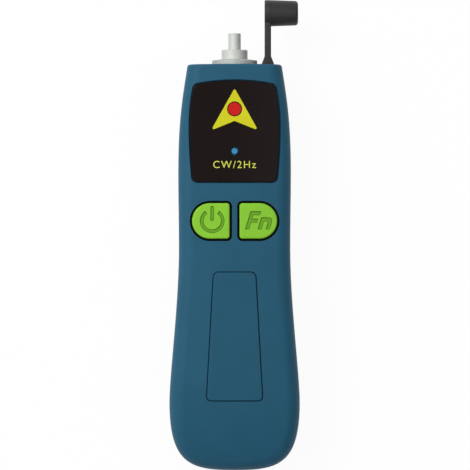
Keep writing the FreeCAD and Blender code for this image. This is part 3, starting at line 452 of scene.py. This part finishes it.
class Recipe(Nodes):
    """A Geometry Nodes tree with named inputs."""

    def __init__(self, name, **sizes):
        """Starts the tree; a tuple becomes a vector input and a number a float one."""
        super().__init__(bpy.data.node_groups.new(name, "GeometryNodeTree"))
        self.sizes = sizes
        interface = self.tree.interface
        interface.new_socket("Geometry", in_out="INPUT", socket_type="NodeSocketGeometry")
        self.identifiers = {}
        for key, value in sizes.items():
            kind = "NodeSocketVector" if isinstance(value, tuple) else "NodeSocketFloat"
            socket = interface.new_socket(key, in_out="INPUT", socket_type=kind)
            self.identifiers[key] = socket.identifier
        interface.new_socket("Geometry", in_out="OUTPUT", socket_type="NodeSocketGeometry")
        self.entry = self.node("NodeGroupInput")

    def size(self, key):
        """The output of one named input."""
        return self.entry.outputs[key]

    def vector(self, x=0.0, y=0.0, z=0.0):
        """A vector from three values or outputs."""
        return self.node("ShaderNodeCombineXYZ", {0: x, 1: y, 2: z}).outputs[0]

    def place(self):
        """The position's X, Y and Z outputs."""
        position = self.node("GeometryNodeInputPosition").outputs[0]
        return self.node("ShaderNodeSeparateXYZ", {0: position}).outputs

    def moved(self, geometry, offset):
        """Geometry with its points moved by an offset."""
        return self.node("GeometryNodeSetPosition", {"Geometry": geometry, "Offset": offset}).outputs[0]

    def shifted(self, geometry, x=0.0, y=0.0, z=0.0):
        """Geometry moved as a whole."""
        return self.node("GeometryNodeTransform", {"Geometry": geometry,
                                                   "Translation": self.vector(x, y, z)}).outputs[0]

    def swept(self, path, outline):
        """An outline swept along a path, with both ends closed."""
        return self.node("GeometryNodeCurveToMesh", {"Curve": path, "Profile Curve": outline,
                                                     "Fill Caps": True}).outputs[0]

    def copies(self, piece):
        """A piece set at each point of the starting mesh."""
        return self.node("GeometryNodeInstanceOnPoints", {"Points": self.size("Geometry"),
                                                          "Instance": piece}).outputs[0]

    def made(self, geometry, material, start=None):
        """The finished mesh of the tree, run on a starting mesh."""
        real = self.node("GeometryNodeRealizeInstances", {"Geometry": geometry}).outputs[0]
        painted = self.node("GeometryNodeSetMaterial", {"Geometry": real, "Material": material}).outputs[0]
        self.node("NodeGroupOutput", {0: painted})
        carrier = bpy.data.objects.new(self.tree.name, start or bpy.data.meshes.new(self.tree.name))
        bpy.context.scene.collection.objects.link(carrier)
        modifier = carrier.modifiers.new("recipe", "NODES")
        modifier.node_group = self.tree
        for key, identifier in self.identifiers.items():
            modifier[identifier] = self.sizes[key]
        graph = bpy.context.evaluated_depsgraph_get()
        mesh = bpy.data.meshes.new_from_object(carrier.evaluated_get(graph))
        carrier.modifiers.remove(modifier)
        bpy.data.objects.remove(carrier)
        if not mesh.polygons:
            raise RuntimeError("%s made no faces" % self.tree.name)
        smooth(mesh)
        return mesh


def recessed_head(recipe):
    """A screw's head under its seat, domed and cut by two crossed bars."""
    disc = recipe.node("GeometryNodeMeshCylinder", {
        "Vertices": 48, "Side Segments": 1, "Fill Segments": 6, "Radius": recipe.size("Head_radius"),
        "Depth": recipe.size("Head_height")}).outputs[0]
    disc = recipe.shifted(disc, z=recipe.maths("MULTIPLY", recipe.size("Head_height"), -0.5))
    x, y, z = recipe.place()
    out = recipe.maths("ADD", recipe.maths("MULTIPLY", x, x), recipe.maths("MULTIPLY", y, y))
    share = recipe.maths("DIVIDE", out, recipe.maths("POWER", recipe.size("Head_radius"), 2.0))
    low = recipe.maths("LESS_THAN", z, recipe.maths("MULTIPLY", recipe.size("Head_height"), -0.5))
    lift = recipe.maths("MULTIPLY", recipe.maths("MULTIPLY", share, recipe.size("Dome")), low)
    domed = recipe.moved(disc, recipe.vector(z=lift))
    wide, long, high = recipe.node("ShaderNodeSeparateXYZ", {0: recipe.size("Recess")}).outputs
    bars = []
    for along_x, along_y in ((wide, long), (long, wide)):
        bar = recipe.node("GeometryNodeMeshCube", {"Size": recipe.vector(along_x, along_y, high)}).outputs[0]
        bars.append(recipe.shifted(bar, z=recipe.maths("MULTIPLY", recipe.size("Head_height"), -1.0)))
    return recipe.node("GeometryNodeMeshBoolean", {"Mesh 1": domed, "Mesh 2": bars},
                       operation="DIFFERENCE", solver="EXACT").outputs[0]


def threaded_shank(recipe):
    """A screw's shank above its seat, drawn in between the ridges of its thread."""
    rod = recipe.node("GeometryNodeMeshCylinder", {
        "Vertices": 24, "Side Segments": 72, "Fill Segments": 1, "Radius": recipe.size("Radius"),
        "Depth": recipe.size("Shank")}).outputs[0]
    x, y, z = recipe.place()
    wave = recipe.maths("PINGPONG", z, recipe.maths("MULTIPLY", recipe.size("Pitch"), 0.5))
    depth = recipe.maths("MULTIPLY", recipe.maths("DIVIDE", wave, recipe.size("Pitch")), -2.0)
    inwards = recipe.maths("MULTIPLY", depth, recipe.maths("DIVIDE", recipe.size("Thread"),
                                                           recipe.size("Radius")))
    offset = recipe.vector(recipe.maths("MULTIPLY", x, inwards), recipe.maths("MULTIPLY", y, inwards))
    return recipe.shifted(recipe.moved(rod, offset), z=recipe.maths("MULTIPLY", recipe.size("Shank"), 0.5))


def screws(name, places, material, radius, head_radius, head_height, shank):
    """Domed cross-recess screws with their heads down, one at each place of a head's seat."""
    recess = (RECESS_WIDTH * head_radius, RECESS_LENGTH * head_radius, RECESS_HEIGHT * head_height)
    recipe = Recipe(name, Radius=radius, Head_radius=head_radius, Head_height=head_height,
                    Dome=DOME * head_height, Recess=recess, Shank=shank, Pitch=PITCH * radius,
                    Thread=THREAD * radius)
    pieces = [recessed_head(recipe), threaded_shank(recipe)]
    screw = recipe.node("GeometryNodeJoinGeometry", {"Geometry": pieces}).outputs[0]
    return recipe.made(recipe.copies(screw), material, points_mesh(name, places))


# ---------------------------------------------------------------- operators
class TESTER_OT_case(bpy.types.Operator):
    """Moulded finish of the shells, the battery cover and the blank name plate."""
    bl_idname = "tester.case"
    bl_label = "Case"

    def execute(self, context):
        colours, sizes = settings()
        tone = tuple(colours.case)
        dress(moulded("case_plastic", tone, sizes.grain, specular=0.14), "front_shell", "rear_shell")
        dress(moulded("cover_plastic", scaled(tone, 0.98), sizes.grain, specular=0.14), "battery_cover")
        dress(moulded("plate_plastic", scaled(tone, 0.985), 0.6 * sizes.grain, roughness=0.45,
                      specular=0.14), "name_plate")
        return {"FINISHED"}


class TESTER_OT_screws(bpy.types.Operator):
    """Screws of the case and of the circuit board, and the board's solder joints."""
    bl_idname = "tester.screws"
    bl_label = "Screws"

    def execute(self, context):
        _, sizes = settings()
        steel = turned("screw_steel", (0.66, 0.665, 0.67), roughness=0.32, stretch=(1.0, 1.0, 8.0))
        self.fit("case_screw_set", "case_screws", CASE_SCREW_PLACES, steel, sizes.screw_radius,
                 sizes.screw_head, CASE_SCREW_HEAD)
        self.fit("board_screw_set", "board_screws", BOARD_SCREW_PLACES, steel, sizes.small_screw,
                 sizes.small_head, BOARD_SCREW_HEAD)
        self.solder()
        return {"FINISHED"}

    def fit(self, name, node, places, steel, radius, head_radius, head_height):
        """Replaces a packed set of screws by one with threads and cross recesses."""
        low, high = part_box(node)
        seat_z = low.z + head_height
        mesh = screws(name, both_sides(places, seat_z), steel, radius, head_radius, head_height,
                      high.z - seat_z)
        new_piece(name, mesh, (steel,), "case", (node,))

    def solder(self):
        """Adds a joint for each pin of the two switches, under the board."""
        board_low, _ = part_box("main_board")
        places = []
        for node in ("power_switch", "fn_switch"):
            middle = middle_of(node)
            for side_x in (-1, 1):
                for side_y in (-1, 1):
                    places.append((middle.x + side_x * SWITCH_PIN_SPREAD[0],
                                   middle.y + side_y * SWITCH_PIN_SPREAD[1], board_low.z))
        recipe = Recipe("solder_joints", Foot=0.6 * MM, Tip=0.2 * MM, Height=0.6 * MM)
        cone = recipe.node("GeometryNodeMeshCone", {
            "Vertices": 16, "Side Segments": 4, "Radius Top": recipe.size("Foot"),
            "Radius Bottom": recipe.size("Tip"), "Depth": recipe.size("Height")}).outputs[0]
        cone = recipe.shifted(cone, z=recipe.maths("MULTIPLY", recipe.size("Height"), -1.0))
        tin = turned("solder", (0.72, 0.73, 0.74), roughness=0.25, stretch=(1.0, 1.0, 1.0))
        joints = recipe.made(recipe.copies(cone), tin, points_mesh("solder_joints", places))
        new_piece("solder_joints", joints, (tin,), "case")


class TESTER_OT_window(bpy.types.Operator):
    """Dark window with its printed arrowhead, spot and legend."""
    bl_idname = "tester.window"
    bl_label = "Window"
    words = "CW/2Hz"
    boldness = 0.001
    spacing = 1.22
    first_letter_share = 0.3

    def execute(self, context):
        colours, sizes = settings()
        dress(moulded("window_plastic", tuple(colours.window), 0.3 * MM, roughness=0.25, specular=0.1,
                      depth=0.001 * MM), "window_panel")
        dress(moulded("yellow_ink", tuple(colours.mark), 0.2 * MM, specular=0.1), "pointer_mark")
        dress(moulded("red_ink", tuple(colours.spot), 0.2 * MM, specular=0.1), "light_dot")
        self.legend(colours, sizes)
        return {"FINISHED"}

    def legend(self, colours, sizes):
        """Prints the legend on the window, following its surface."""
        curve = bpy.data.curves.new("legend", "FONT")
        curve.body = self.words
        curve.offset = self.boldness
        curve.space_character = self.spacing
        curve.resolution_u = 4
        text = bpy.data.objects.new("legend_text", curve)
        bpy.context.scene.collection.objects.link(text)
        mesh = bpy.data.meshes.new_from_object(text)
        bpy.data.objects.remove(text)
        xs = [v.co.x for v in mesh.vertices]
        middle = (max(xs) + min(xs)) / 2
        wide = sizes.legend_width / (max(xs) - min(xs))
        first_letter_end = middle * self.first_letter_share
        cap_height = max(v.co.y for v in mesh.vertices if v.co.x < first_letter_end)
        tall = sizes.legend_height / cap_height
        tree = surface_under("window_panel")
        for vertex in mesh.vertices:
            x = (vertex.co.x - middle) * wide
            y = sizes.legend_y + vertex.co.y * tall
            vertex.co = (x, y, surface_height(tree, x, y) + sizes.ink)
        ink = moulded("legend_ink", tuple(colours.legend), 0.2 * MM, specular=0.1)
        new_piece("legend", mesh, (ink,), "case")


class TESTER_OT_indicator(bpy.types.Operator):
    """Blue light pipe and the small lamp under it."""
    bl_idname = "tester.indicator"
    bl_label = "Indicator"

    def execute(self, context):
        colours, sizes = settings()
        tone = tuple(colours.light)
        shader = Shader("clear_plastic", specular_ior_level=0.3, emission_strength=0.12)
        cloud = shader.noise(0.5 * MM)
        middle = middle_of("light_pipe")
        across = shader.maths("SUBTRACT", shader.axis("X"), middle.x)
        along = shader.maths("SUBTRACT", shader.axis("Y"), middle.y)
        radius = shader.maths("SQRT", shader.maths("ADD", shader.square(across), shader.square(along)))
        # Painted shade: a dark ring at the pipe's edge stands for the shadowed gap round it, and the middle
        # inside lit_radius keeps its full tone.
        painted_shade_rim = shader.ramp(radius, sizes.lit_radius, sizes.lit_radius + 0.12 * MM)
        core = shader.shades(cloud, tone, 0.9, 1.12)
        lit = shader.mix(painted_shade_rim, core, linear(scaled(tone, 0.14)))
        shader.set("Base Color", lit)
        shader.set("Roughness", shader.spread(cloud, 0.2, 0.32))
        shader.set("Emission Color", lit)
        dress(shader.material, "light_pipe")
        dress(tipped("led_body", "indicator_led", (0.88, 0.87, 0.78), (0.8, 0.78, 0.7),
                     half_body=0.6 * MM), "indicator_led")
        return {"FINISHED"}


class TESTER_OT_keys(bpy.types.Operator):
    """Green rubber keys with painted shade in their wells and darker sunk symbols, whose darkness is painted
    shade, and the switches under them.
    """
    bl_idname = "tester.keys"
    bl_label = "Keys"

    def execute(self, context):
        colours, sizes = settings()
        tone = tuple(colours.key)
        top_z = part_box("power_button")[1].z
        shaded_materials = (key_rubber("key_rubber", tone, top_z),
                    # The sunk symbols' floors and walls are darker copies of the key green: painted shade,
                    # the walls darker still.
                    moulded("engraved_floor", tuple(colours.engraving), 0.3 * MM, specular=0.1),
                    moulded("engraved_wall", scaled(tuple(colours.engraving), 0.72), 0.3 * MM, specular=0.1))
        for name, node, body in (("power_key_rubber", "power_button", "power_key"),
                                 ("fn_key_rubber", "fn_button", "fn_key")):
            mesh = self.engraved(name, node, sizes.engraving_draft)
            new_piece(name, mesh, shaded_materials, body, (node,))
        dress(moulded("switch_plastic", (0.12, 0.12, 0.12), 0.2 * MM), "power_switch", "fn_switch")
        dress(moulded("plunger_plastic", (0.62, 0.60, 0.56), 0.2 * MM), "power_plunger", "fn_plunger")
        return {"FINISHED"}

    def engraved(self, name, node, draft):
        """The key's mesh, merged, with drafted walls and faces of their own round its sunk symbols."""
        source = NODES[node].data
        normals = [tuple(corner.vector) for corner in source.corner_normals]
        build = bmesh.new()
        build.from_mesh(source)
        bmesh.ops.remove_doubles(build, verts=build.verts, dist=MERGE)
        if len(build.faces) * 3 != len(normals):
            raise RuntimeError("%s lost faces when its points were merged" % node)
        floors = self.floors(build.faces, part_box(node)[1].z)
        walls = self.upright(floors)
        walls |= self.upright(walls)
        self.lean(floors, walls, draft)
        for face in floors:
            face.material_index = FLOOR_SHADE_SLOT
        for face in walls:
            face.normal_update()
            face.material_index = WALL_SHADE_SLOT
            for corner in range(3):
                normals[face.index * 3 + corner] = tuple(face.normal)
        mesh = bpy.data.meshes.new(name)
        build.to_mesh(mesh)
        build.free()
        for face in mesh.polygons:
            face.use_smooth = True
        mesh.normals_split_custom_set(normals)
        return mesh

    def floors(self, faces, top_z):
        """The level faces near the top, apart from the largest patch, which is the top itself."""
        level = [face for face in faces
                 if face.normal.z > LEVEL and face.calc_center_median().z > top_z - SYMBOL_DEPTH]
        patches = [patch for patch in self.patches(level) if self.area(patch) > SMALLEST_SYMBOL]
        patches.sort(key=self.area)
        return {face for patch in patches[:-1] for face in patch}

    def area(self, faces):
        """The faces' area in all."""
        return sum(face.calc_area() for face in faces)

    def upright(self, faces):
        """The upright faces that share an edge with some faces."""
        return {other for face in faces for edge in face.edges for other in edge.link_faces
                if abs(other.normal.z) < UPRIGHT}

    def lean(self, floors, walls, draft):
        """Moves the walls' feet in over the floors, which makes the floors smaller."""
        moves = {}
        for vertex in {vertex for face in floors for vertex in face.verts}:
            facing = [face.normal for face in vertex.link_faces if face in walls]
            if facing:
                moves[vertex] = self.mitre(facing) * draft
        for vertex, move in moves.items():
            vertex.co += move

    def mitre(self, facing):
        """The move that takes a corner one unit away from every wall that meets there."""
        distinct = []
        for normal in facing:
            if all(normal.dot(other) < SAME_WALL for other in distinct):
                distinct.append(normal)
        total = sum(distinct, Vector())
        total.z = 0.0
        direction = total.normalized()
        closest = max(WIDEST_MITRE, min(direction.dot(normal) for normal in distinct))
        return direction / closest

    def patches(self, faces):
        """Faces in groups that hang together by their edges."""
        left = set(faces)
        groups = []
        while left:
            waiting = [left.pop()]
            group = []
            while waiting:
                face = waiting.pop()
                group.append(face)
                for other in {other for edge in face.edges for other in edge.link_faces} & left:
                    left.remove(other)
                    waiting.append(other)
            groups.append(group)
        return groups


class TESTER_OT_port(bpy.types.Operator):
    """Turned light port, its collar and its ceramic sleeve."""
    bl_idname = "tester.port"
    bl_label = "Light port"

    def execute(self, context):
        colours, _ = settings()
        tone = tuple(colours.port)
        dress(turned("port_metal", tone, roughness=0.6, metallic=0.5), "port_body")
        dress(turned("collar_metal", scaled(tone, 0.94), roughness=0.6, metallic=0.5), "port_collar")
        dress(moulded("zirconia", (0.93, 0.92, 0.88), 0.1 * MM, roughness=0.2, specular=0.5),
              "ferrule_sleeve")
        return {"FINISHED"}


class TESTER_OT_laser(bpy.types.Operator):
    """Laser diode, its brass barrel, lens and lens ring."""
    bl_idname = "tester.laser"
    bl_label = "Laser"

    def execute(self, context):
        colours, _ = settings()
        brass = turned("turned_brass", tuple(colours.brass), roughness=0.28)
        dress(brass, "laser_barrel", "lens_ring")
        dress(turned("diode_can", (0.80, 0.68, 0.42), roughness=0.3, stretch=(1.0, 6.0, 1.0)), "laser_diode")
        dress(clear("lens_glass", (0.93, 0.97, 0.98), 0.02), "focus_lens")
        return {"FINISHED"}


class TESTER_OT_board(bpy.types.Operator):
    """Circuit board with its chip, coil and capacitors."""
    bl_idname = "tester.board"
    bl_label = "Circuit board"

    def execute(self, context):
        colours, sizes = settings()
        dress(self.laminate(tuple(colours.board)), "main_board")
        dress(tipped("part_black", "controller_chip", (0.11, 0.11, 0.115), (0.70, 0.71, 0.72),
                     half_body=2.05 * MM), "controller_chip")
        dress(tipped("capacitor_ceramic", "board_capacitors", (0.62, 0.50, 0.36), (0.74, 0.74, 0.73),
                     half_body=1.15 * MM), "board_capacitors")
        dress(moulded("ferrite", (0.2, 0.195, 0.19), 0.25 * MM, roughness=0.7), "boost_inductor")
        self.coil(sizes)
        return {"FINISHED"}

    def laminate(self, tone):
        """Solder mask with copper tracks showing faintly through it."""
        shader = Shader("board_laminate", specular_ior_level=0.5)
        brick = shader.node("ShaderNodeTexBrick", {
            "Vector": shader.coordinates, "Scale": 1.0 / (4 * MM), "Mortar Size": 0.05,
            "Mortar Smooth": 0.2, "Brick Width": 0.9, "Row Height": 0.35})
        cloud = shader.noise(5 * MM)
        tracks = brick.outputs["Fac"]
        mask = shader.shades(cloud, tone, 0.92, 1.08)
        shader.set("Base Color", shader.mix(tracks, mask, linear(scaled(tone, 1.35))))
        shader.set("Roughness", shader.spread(cloud, 0.25, 0.36))
        shader.bump(tracks, 0.03 * MM)
        return shader.material

    def coil(self, sizes):
        """Copper wire wound round the coil's drum."""
        middle = middle_of("boost_inductor")
        foot_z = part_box("boost_inductor")[0].z + COIL_FOOT
        recipe = Recipe("coil_wire", Wire=sizes.wire, Radius=COIL_RADIUS,
                        Height=2.0 * COIL_TURNS * sizes.wire, Place=(middle.x, middle.y, foot_z))
        spiral = recipe.node("GeometryNodeCurveSpiral", {
            "Resolution": 40, "Rotations": float(COIL_TURNS), "Start Radius": recipe.size("Radius"),
            "End Radius": recipe.size("Radius"), "Height": recipe.size("Height")}).outputs[0]
        ring = recipe.node("GeometryNodeCurvePrimitiveCircle", {
            "Resolution": 10, "Radius": recipe.size("Wire")}).outputs[0]
        wound = recipe.moved(recipe.swept(spiral, ring), recipe.size("Place"))
        copper = turned("coil_copper", (0.72, 0.42, 0.26), roughness=0.3, stretch=(1.0, 1.0, 4.0))
        new_piece("coil_wire", recipe.made(wound, copper), (copper,), "case")


class TESTER_OT_cells(bpy.types.Operator):
    """Two round cells and the contacts that hold them."""
    bl_idname = "tester.cells"
    bl_label = "Cells"
    bare_end = 1.5 * MM
    band_end = 11.0 * MM

    def execute(self, context):
        colours, _ = settings()
        for node in ("battery_left", "battery_right"):
            dress(self.jacket(node, tuple(colours.jacket)), node)
        dress(turned("nickel", (0.78, 0.775, 0.76), roughness=0.22, stretch=(6.0, 1.0, 1.0)),
              "plus_contact", "minus_contact", "bridge_contact")
        return {"FINISHED"}

    def jacket(self, node, tone):
        """Dark printed film with a paler band near both ends, and bare steel past it."""
        shader = Shader("jacket_" + node)
        low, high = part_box(node)
        middle = (low.y + high.y) / 2
        half = (high.y - low.y) / 2
        bare = shader.past("Y", middle, half - self.bare_end)
        band = shader.past("Y", middle, half - self.band_end, soft=0.1 * MM)
        scuffs = shader.noise(0.8 * MM, detail=5.0, roughness=0.7, stretch=(1.0, 0.3, 1.0))
        film = shader.shades(scuffs, tone, 0.9, 1.12)
        banded = shader.mix(band, film, linear((0.66, 0.47, 0.25)))
        shader.set("Base Color", shader.mix(bare, banded, linear((0.74, 0.74, 0.73))))
        shader.set("Metallic", shader.ramp(bare, 0.0, 1.0, 0.25, 1.0))
        shader.set("Roughness", shader.spread(scuffs, 0.24, 0.4))
        shader.bump(scuffs, 0.004 * MM)
        return shader.material


class TESTER_OT_tether(bpy.types.Operator):
    """Rubber tether from the case to the dust cap, and the dust cap."""
    bl_idname = "tester.tether"
    bl_label = "Tether and cap"
    root_depth = 1.0 * MM
    corner = 0.35 * MM

    def execute(self, context):
        colours, sizes = settings()
        rubber = moulded("black_rubber", tuple(colours.rubber), 0.35 * MM, roughness=0.5, specular=0.38)
        hinge = next(joint for joint in frame["joints"] if joint["name"] == "cap_swing")
        pivot = Vector(hinge["pos_m"])
        self.strap(sizes, rubber, pivot)
        new_piece("rubber_cap", self.cap(), (rubber,), "cap", ("dust_cap",))
        return {"FINISHED"}

    def strap(self, sizes, rubber, pivot):
        """A flat strap from its flared foot in the case up into the cap's flange."""
        cap_low, cap_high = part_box("dust_cap")
        cap_radius = (cap_high.z - cap_low.z) / 2
        case_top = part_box("front_shell")[1].y
        start = (pivot.x, case_top - self.root_depth, pivot.z)
        end = (pivot.x, cap_high.y - cap_radius, pivot.z)
        recipe = Recipe("tether_strap", Start=start, End=end, Thickness=sizes.strap_thickness,
                        Width=sizes.strap_width, Corner=self.corner, Foot=sizes.strap_foot,
                        Foot_y=case_top, Neck_y=pivot.y - sizes.strap_neck, Middle_x=pivot.x)
        path = recipe.node("GeometryNodeCurvePrimitiveLine", {"Start": recipe.size("Start"),
                                                              "End": recipe.size("End")}).outputs[0]
        path = recipe.node("GeometryNodeResampleCurve", {"Curve": path, "Count": 90}).outputs[0]
        outline = recipe.node("GeometryNodeCurvePrimitiveQuadrilateral", {
            "Width": recipe.size("Thickness"), "Height": recipe.size("Width")}).outputs[0]
        outline = recipe.node("GeometryNodeFilletCurve", {
            "Curve": outline, "Count": 4, "Radius": recipe.size("Corner")}, mode="POLY").outputs[0]
        strap = self.flared(recipe, recipe.swept(path, outline))
        piece = new_piece("tether_strap", recipe.made(strap, rubber), (rubber,), None)
        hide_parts("tether_root")
        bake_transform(piece)

    def flared(self, recipe, strap):
        """The strap, widened evenly from its neck down to its foot."""
        x, y, _ = recipe.place()
        flare = recipe.node("ShaderNodeMapRange", {
            "Value": y, "From Min": recipe.size("Neck_y"), "From Max": recipe.size("Foot_y"), "To Min": 0.0,
            "To Max": recipe.maths("SUBTRACT", recipe.maths("DIVIDE", recipe.size("Foot"),
                                                            recipe.size("Thickness")), 1.0)},
            clamp=False).outputs[0]
        widening = recipe.maths("MAXIMUM", flare, 0.0)
        from_middle = recipe.maths("SUBTRACT", x, recipe.size("Middle_x"))
        return recipe.moved(strap, recipe.vector(recipe.maths("MULTIPLY", from_middle, widening)))

    def cap(self):
        """A turned rubber cap: flange with a bored mouth, tapering barrel and rounded end."""
        low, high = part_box("dust_cap")
        radius = (high.z - low.z) / 2
        centre = Vector((0.0, high.y - radius, (high.z + low.z) / 2))
        mouth, end = low.x, high.x
        end_radius = radius - 0.3 * MM
        bore, depth = 2.15 * MM, 8.5 * MM
        edge, nose = 0.3 * MM, 1.0 * MM
        seam, seam_reach = mouth + 1.9 * MM, 0.12 * MM
        profile = [(mouth + depth, 0.0), (mouth + depth, bore - edge)]
        profile += [(mouth + depth - edge, bore), (mouth + edge, bore), (mouth, bore + edge)]
        profile += rounding(mouth + edge, radius - edge, edge, 180, 90)
        profile += [(seam - seam_reach, radius), (seam, radius - 0.1 * MM)]
        profile += [(seam + seam_reach, radius - 0.02 * MM)]
        profile += rounding(end - nose, end_radius - nose, nose, 88, 0)
        profile += [(end, 0.0)]
        return lathe("rubber_cap", profile, centre)


class TESTER_OT_stage(bpy.types.Operator):
    """White table, seen through from under it, soft lamps and a camera that looks straight down."""
    bl_idname = "tester.stage"
    bl_label = "Stage"
    half_table = 4.0
    glow_share = 0.94
    bright_side = (-0.75, 0.55, 0.35)
    dim, bright = 0.12, 0.75

    def execute(self, context):
        _, sizes = settings()
        self.table()
        self.world()
        self.lamp("key_lamp", place=(-0.9, 0.75, 1.2), size=0.9, power=17.0)
        self.lamp("fill_lamp", place=(0.7, 0.1, 1.6), size=1.2, power=4.0)
        self.camera(sizes)
        context.scene.view_settings.view_transform = "Standard"
        return {"FINISHED"}

    def table(self):
        """A white table top just under the tester."""
        mesh = bpy.data.meshes.new("table")
        build = bmesh.new()
        bmesh.ops.create_grid(build, x_segments=1, y_segments=1, size=self.half_table)
        bmesh.ops.translate(build, verts=build.verts, vec=(0.0, 0.0, -TABLE_DROP))
        build.to_mesh(mesh)
        build.free()
        top = bpy.data.objects.new("table", mesh)
        bpy.context.scene.collection.objects.link(top)
        shader = Shader("table_white", roughness=0.9, specular_ior_level=0.1)
        shader.set("Base Color", (0.93, 0.93, 0.93, 1.0))
        path = shader.node("ShaderNodeLightPath")
        seen = shader.maths("MAXIMUM", path.outputs["Is Camera Ray"], path.outputs["Is Glossy Ray"])
        seen = shader.maths("MAXIMUM", seen, path.outputs["Is Transmission Ray"])
        glow = shader.node("ShaderNodeEmission", {"Color": (1, 1, 1, 1), "Strength": 1.0})
        blend = shader.node("ShaderNodeMixShader", {
            0: shader.maths("MULTIPLY", seen, self.glow_share), 1: shader.principled.outputs[0],
            2: glow.outputs[0]})
        under = shader.node("ShaderNodeNewGeometry").outputs["Backfacing"]
        open_under = shader.maths("MULTIPLY", under, path.outputs["Is Camera Ray"])
        see_through = shader.node("ShaderNodeMixShader", {
            0: open_under, 1: blend.outputs[0], 2: shader.node("ShaderNodeBsdfTransparent").outputs[0]})
        shader.link(see_through.outputs[0], shader.output.inputs["Surface"])
        mesh.materials.append(shader.material)

    def world(self):
        """Soft light that is stronger from the upper left, with white behind the tester."""
        world = bpy.data.worlds.new("studio")
        world.use_nodes = True
        nodes = Nodes(world.node_tree)
        way = nodes.node("ShaderNodeTexCoord").outputs["Generated"]
        towards = nodes.node("ShaderNodeVectorMath", {0: way, 1: self.bright_side},
                             operation="DOT_PRODUCT").outputs["Value"]
        strength = nodes.node("ShaderNodeMapRange", {
            "Value": towards, "From Min": -1.0, "From Max": 1.0, "To Min": self.dim,
            "To Max": self.bright}).outputs[0]
        soft = nodes.node("ShaderNodeBackground", {"Color": (1, 1, 1, 1), "Strength": strength})
        white = nodes.node("ShaderNodeBackground", {"Color": (1, 1, 1, 1)})
        path = nodes.node("ShaderNodeLightPath").outputs
        seen = nodes.maths("MAXIMUM", path["Is Camera Ray"], path["Is Transmission Ray"])
        mix = nodes.node("ShaderNodeMixShader", {0: seen, 1: soft.outputs[0], 2: white.outputs[0]})
        nodes.node("ShaderNodeOutputWorld", {"Surface": mix.outputs[0]})
        bpy.context.scene.world = world

    def lamp(self, name, place, size, power):
        """A square soft lamp aimed at the tester."""
        data = bpy.data.lights.new(name, "AREA")
        data.energy = power
        data.size = size
        lamp = bpy.data.objects.new(name, data)
        lamp.location = place
        lamp.rotation_euler = (-Vector(place)).to_track_quat("-Z", "Y").to_euler()
        bpy.context.scene.collection.objects.link(lamp)

    def camera(self, sizes):
        """A camera straight above the tester."""
        data = bpy.data.cameras.new("camera")
        data.sensor_width = 36.0
        data.lens = data.sensor_width * (sizes.camera_height - FOCUS_HEIGHT) / sizes.view_width
        camera = bpy.data.objects.new("camera", data)
        camera.location = (CAMERA_X, 0.0, sizes.camera_height)
        bpy.context.scene.collection.objects.link(camera)
        bpy.context.scene.camera = camera


class TESTER_PT_panel(bpy.types.Panel):
    """Lists the tester's pieces in the sidebar."""
    bl_label = "Fault locator"
    bl_idname = "TESTER_PT_panel"
    bl_space_type = "VIEW_3D"
    bl_region_type = "UI"
    bl_category = "Fault locator"

    def draw(self, context):
        for operator in OPERATORS:
            self.layout.operator(operator.bl_idname)


OPERATORS = (TESTER_OT_case, TESTER_OT_screws, TESTER_OT_window, TESTER_OT_indicator, TESTER_OT_keys,
             TESTER_OT_port, TESTER_OT_laser, TESTER_OT_board, TESTER_OT_cells, TESTER_OT_tether,
             TESTER_OT_stage)
CLASSES = (TesterColours, TesterSizes, *OPERATORS, TESTER_PT_panel)


def register():
    """Adds the classes and the scene's property groups."""
    for cls in CLASSES:
        bpy.utils.register_class(cls)
    bpy.types.Scene.tester_colours = PointerProperty(type=TesterColours)
    bpy.types.Scene.tester_sizes = PointerProperty(type=TesterSizes)


def unregister():
    """Takes the classes and the scene's property groups away."""
    del bpy.types.Scene.tester_sizes
    del bpy.types.Scene.tester_colours
    for cls in reversed(CLASSES):
        bpy.utils.unregister_class(cls)


def main():
    """Makes every piece in order."""
    register()
    for operator in OPERATORS:
        getattr(bpy.ops.tester, operator.bl_idname.split(".")[1])()


if __name__ == "__main__":
    main()
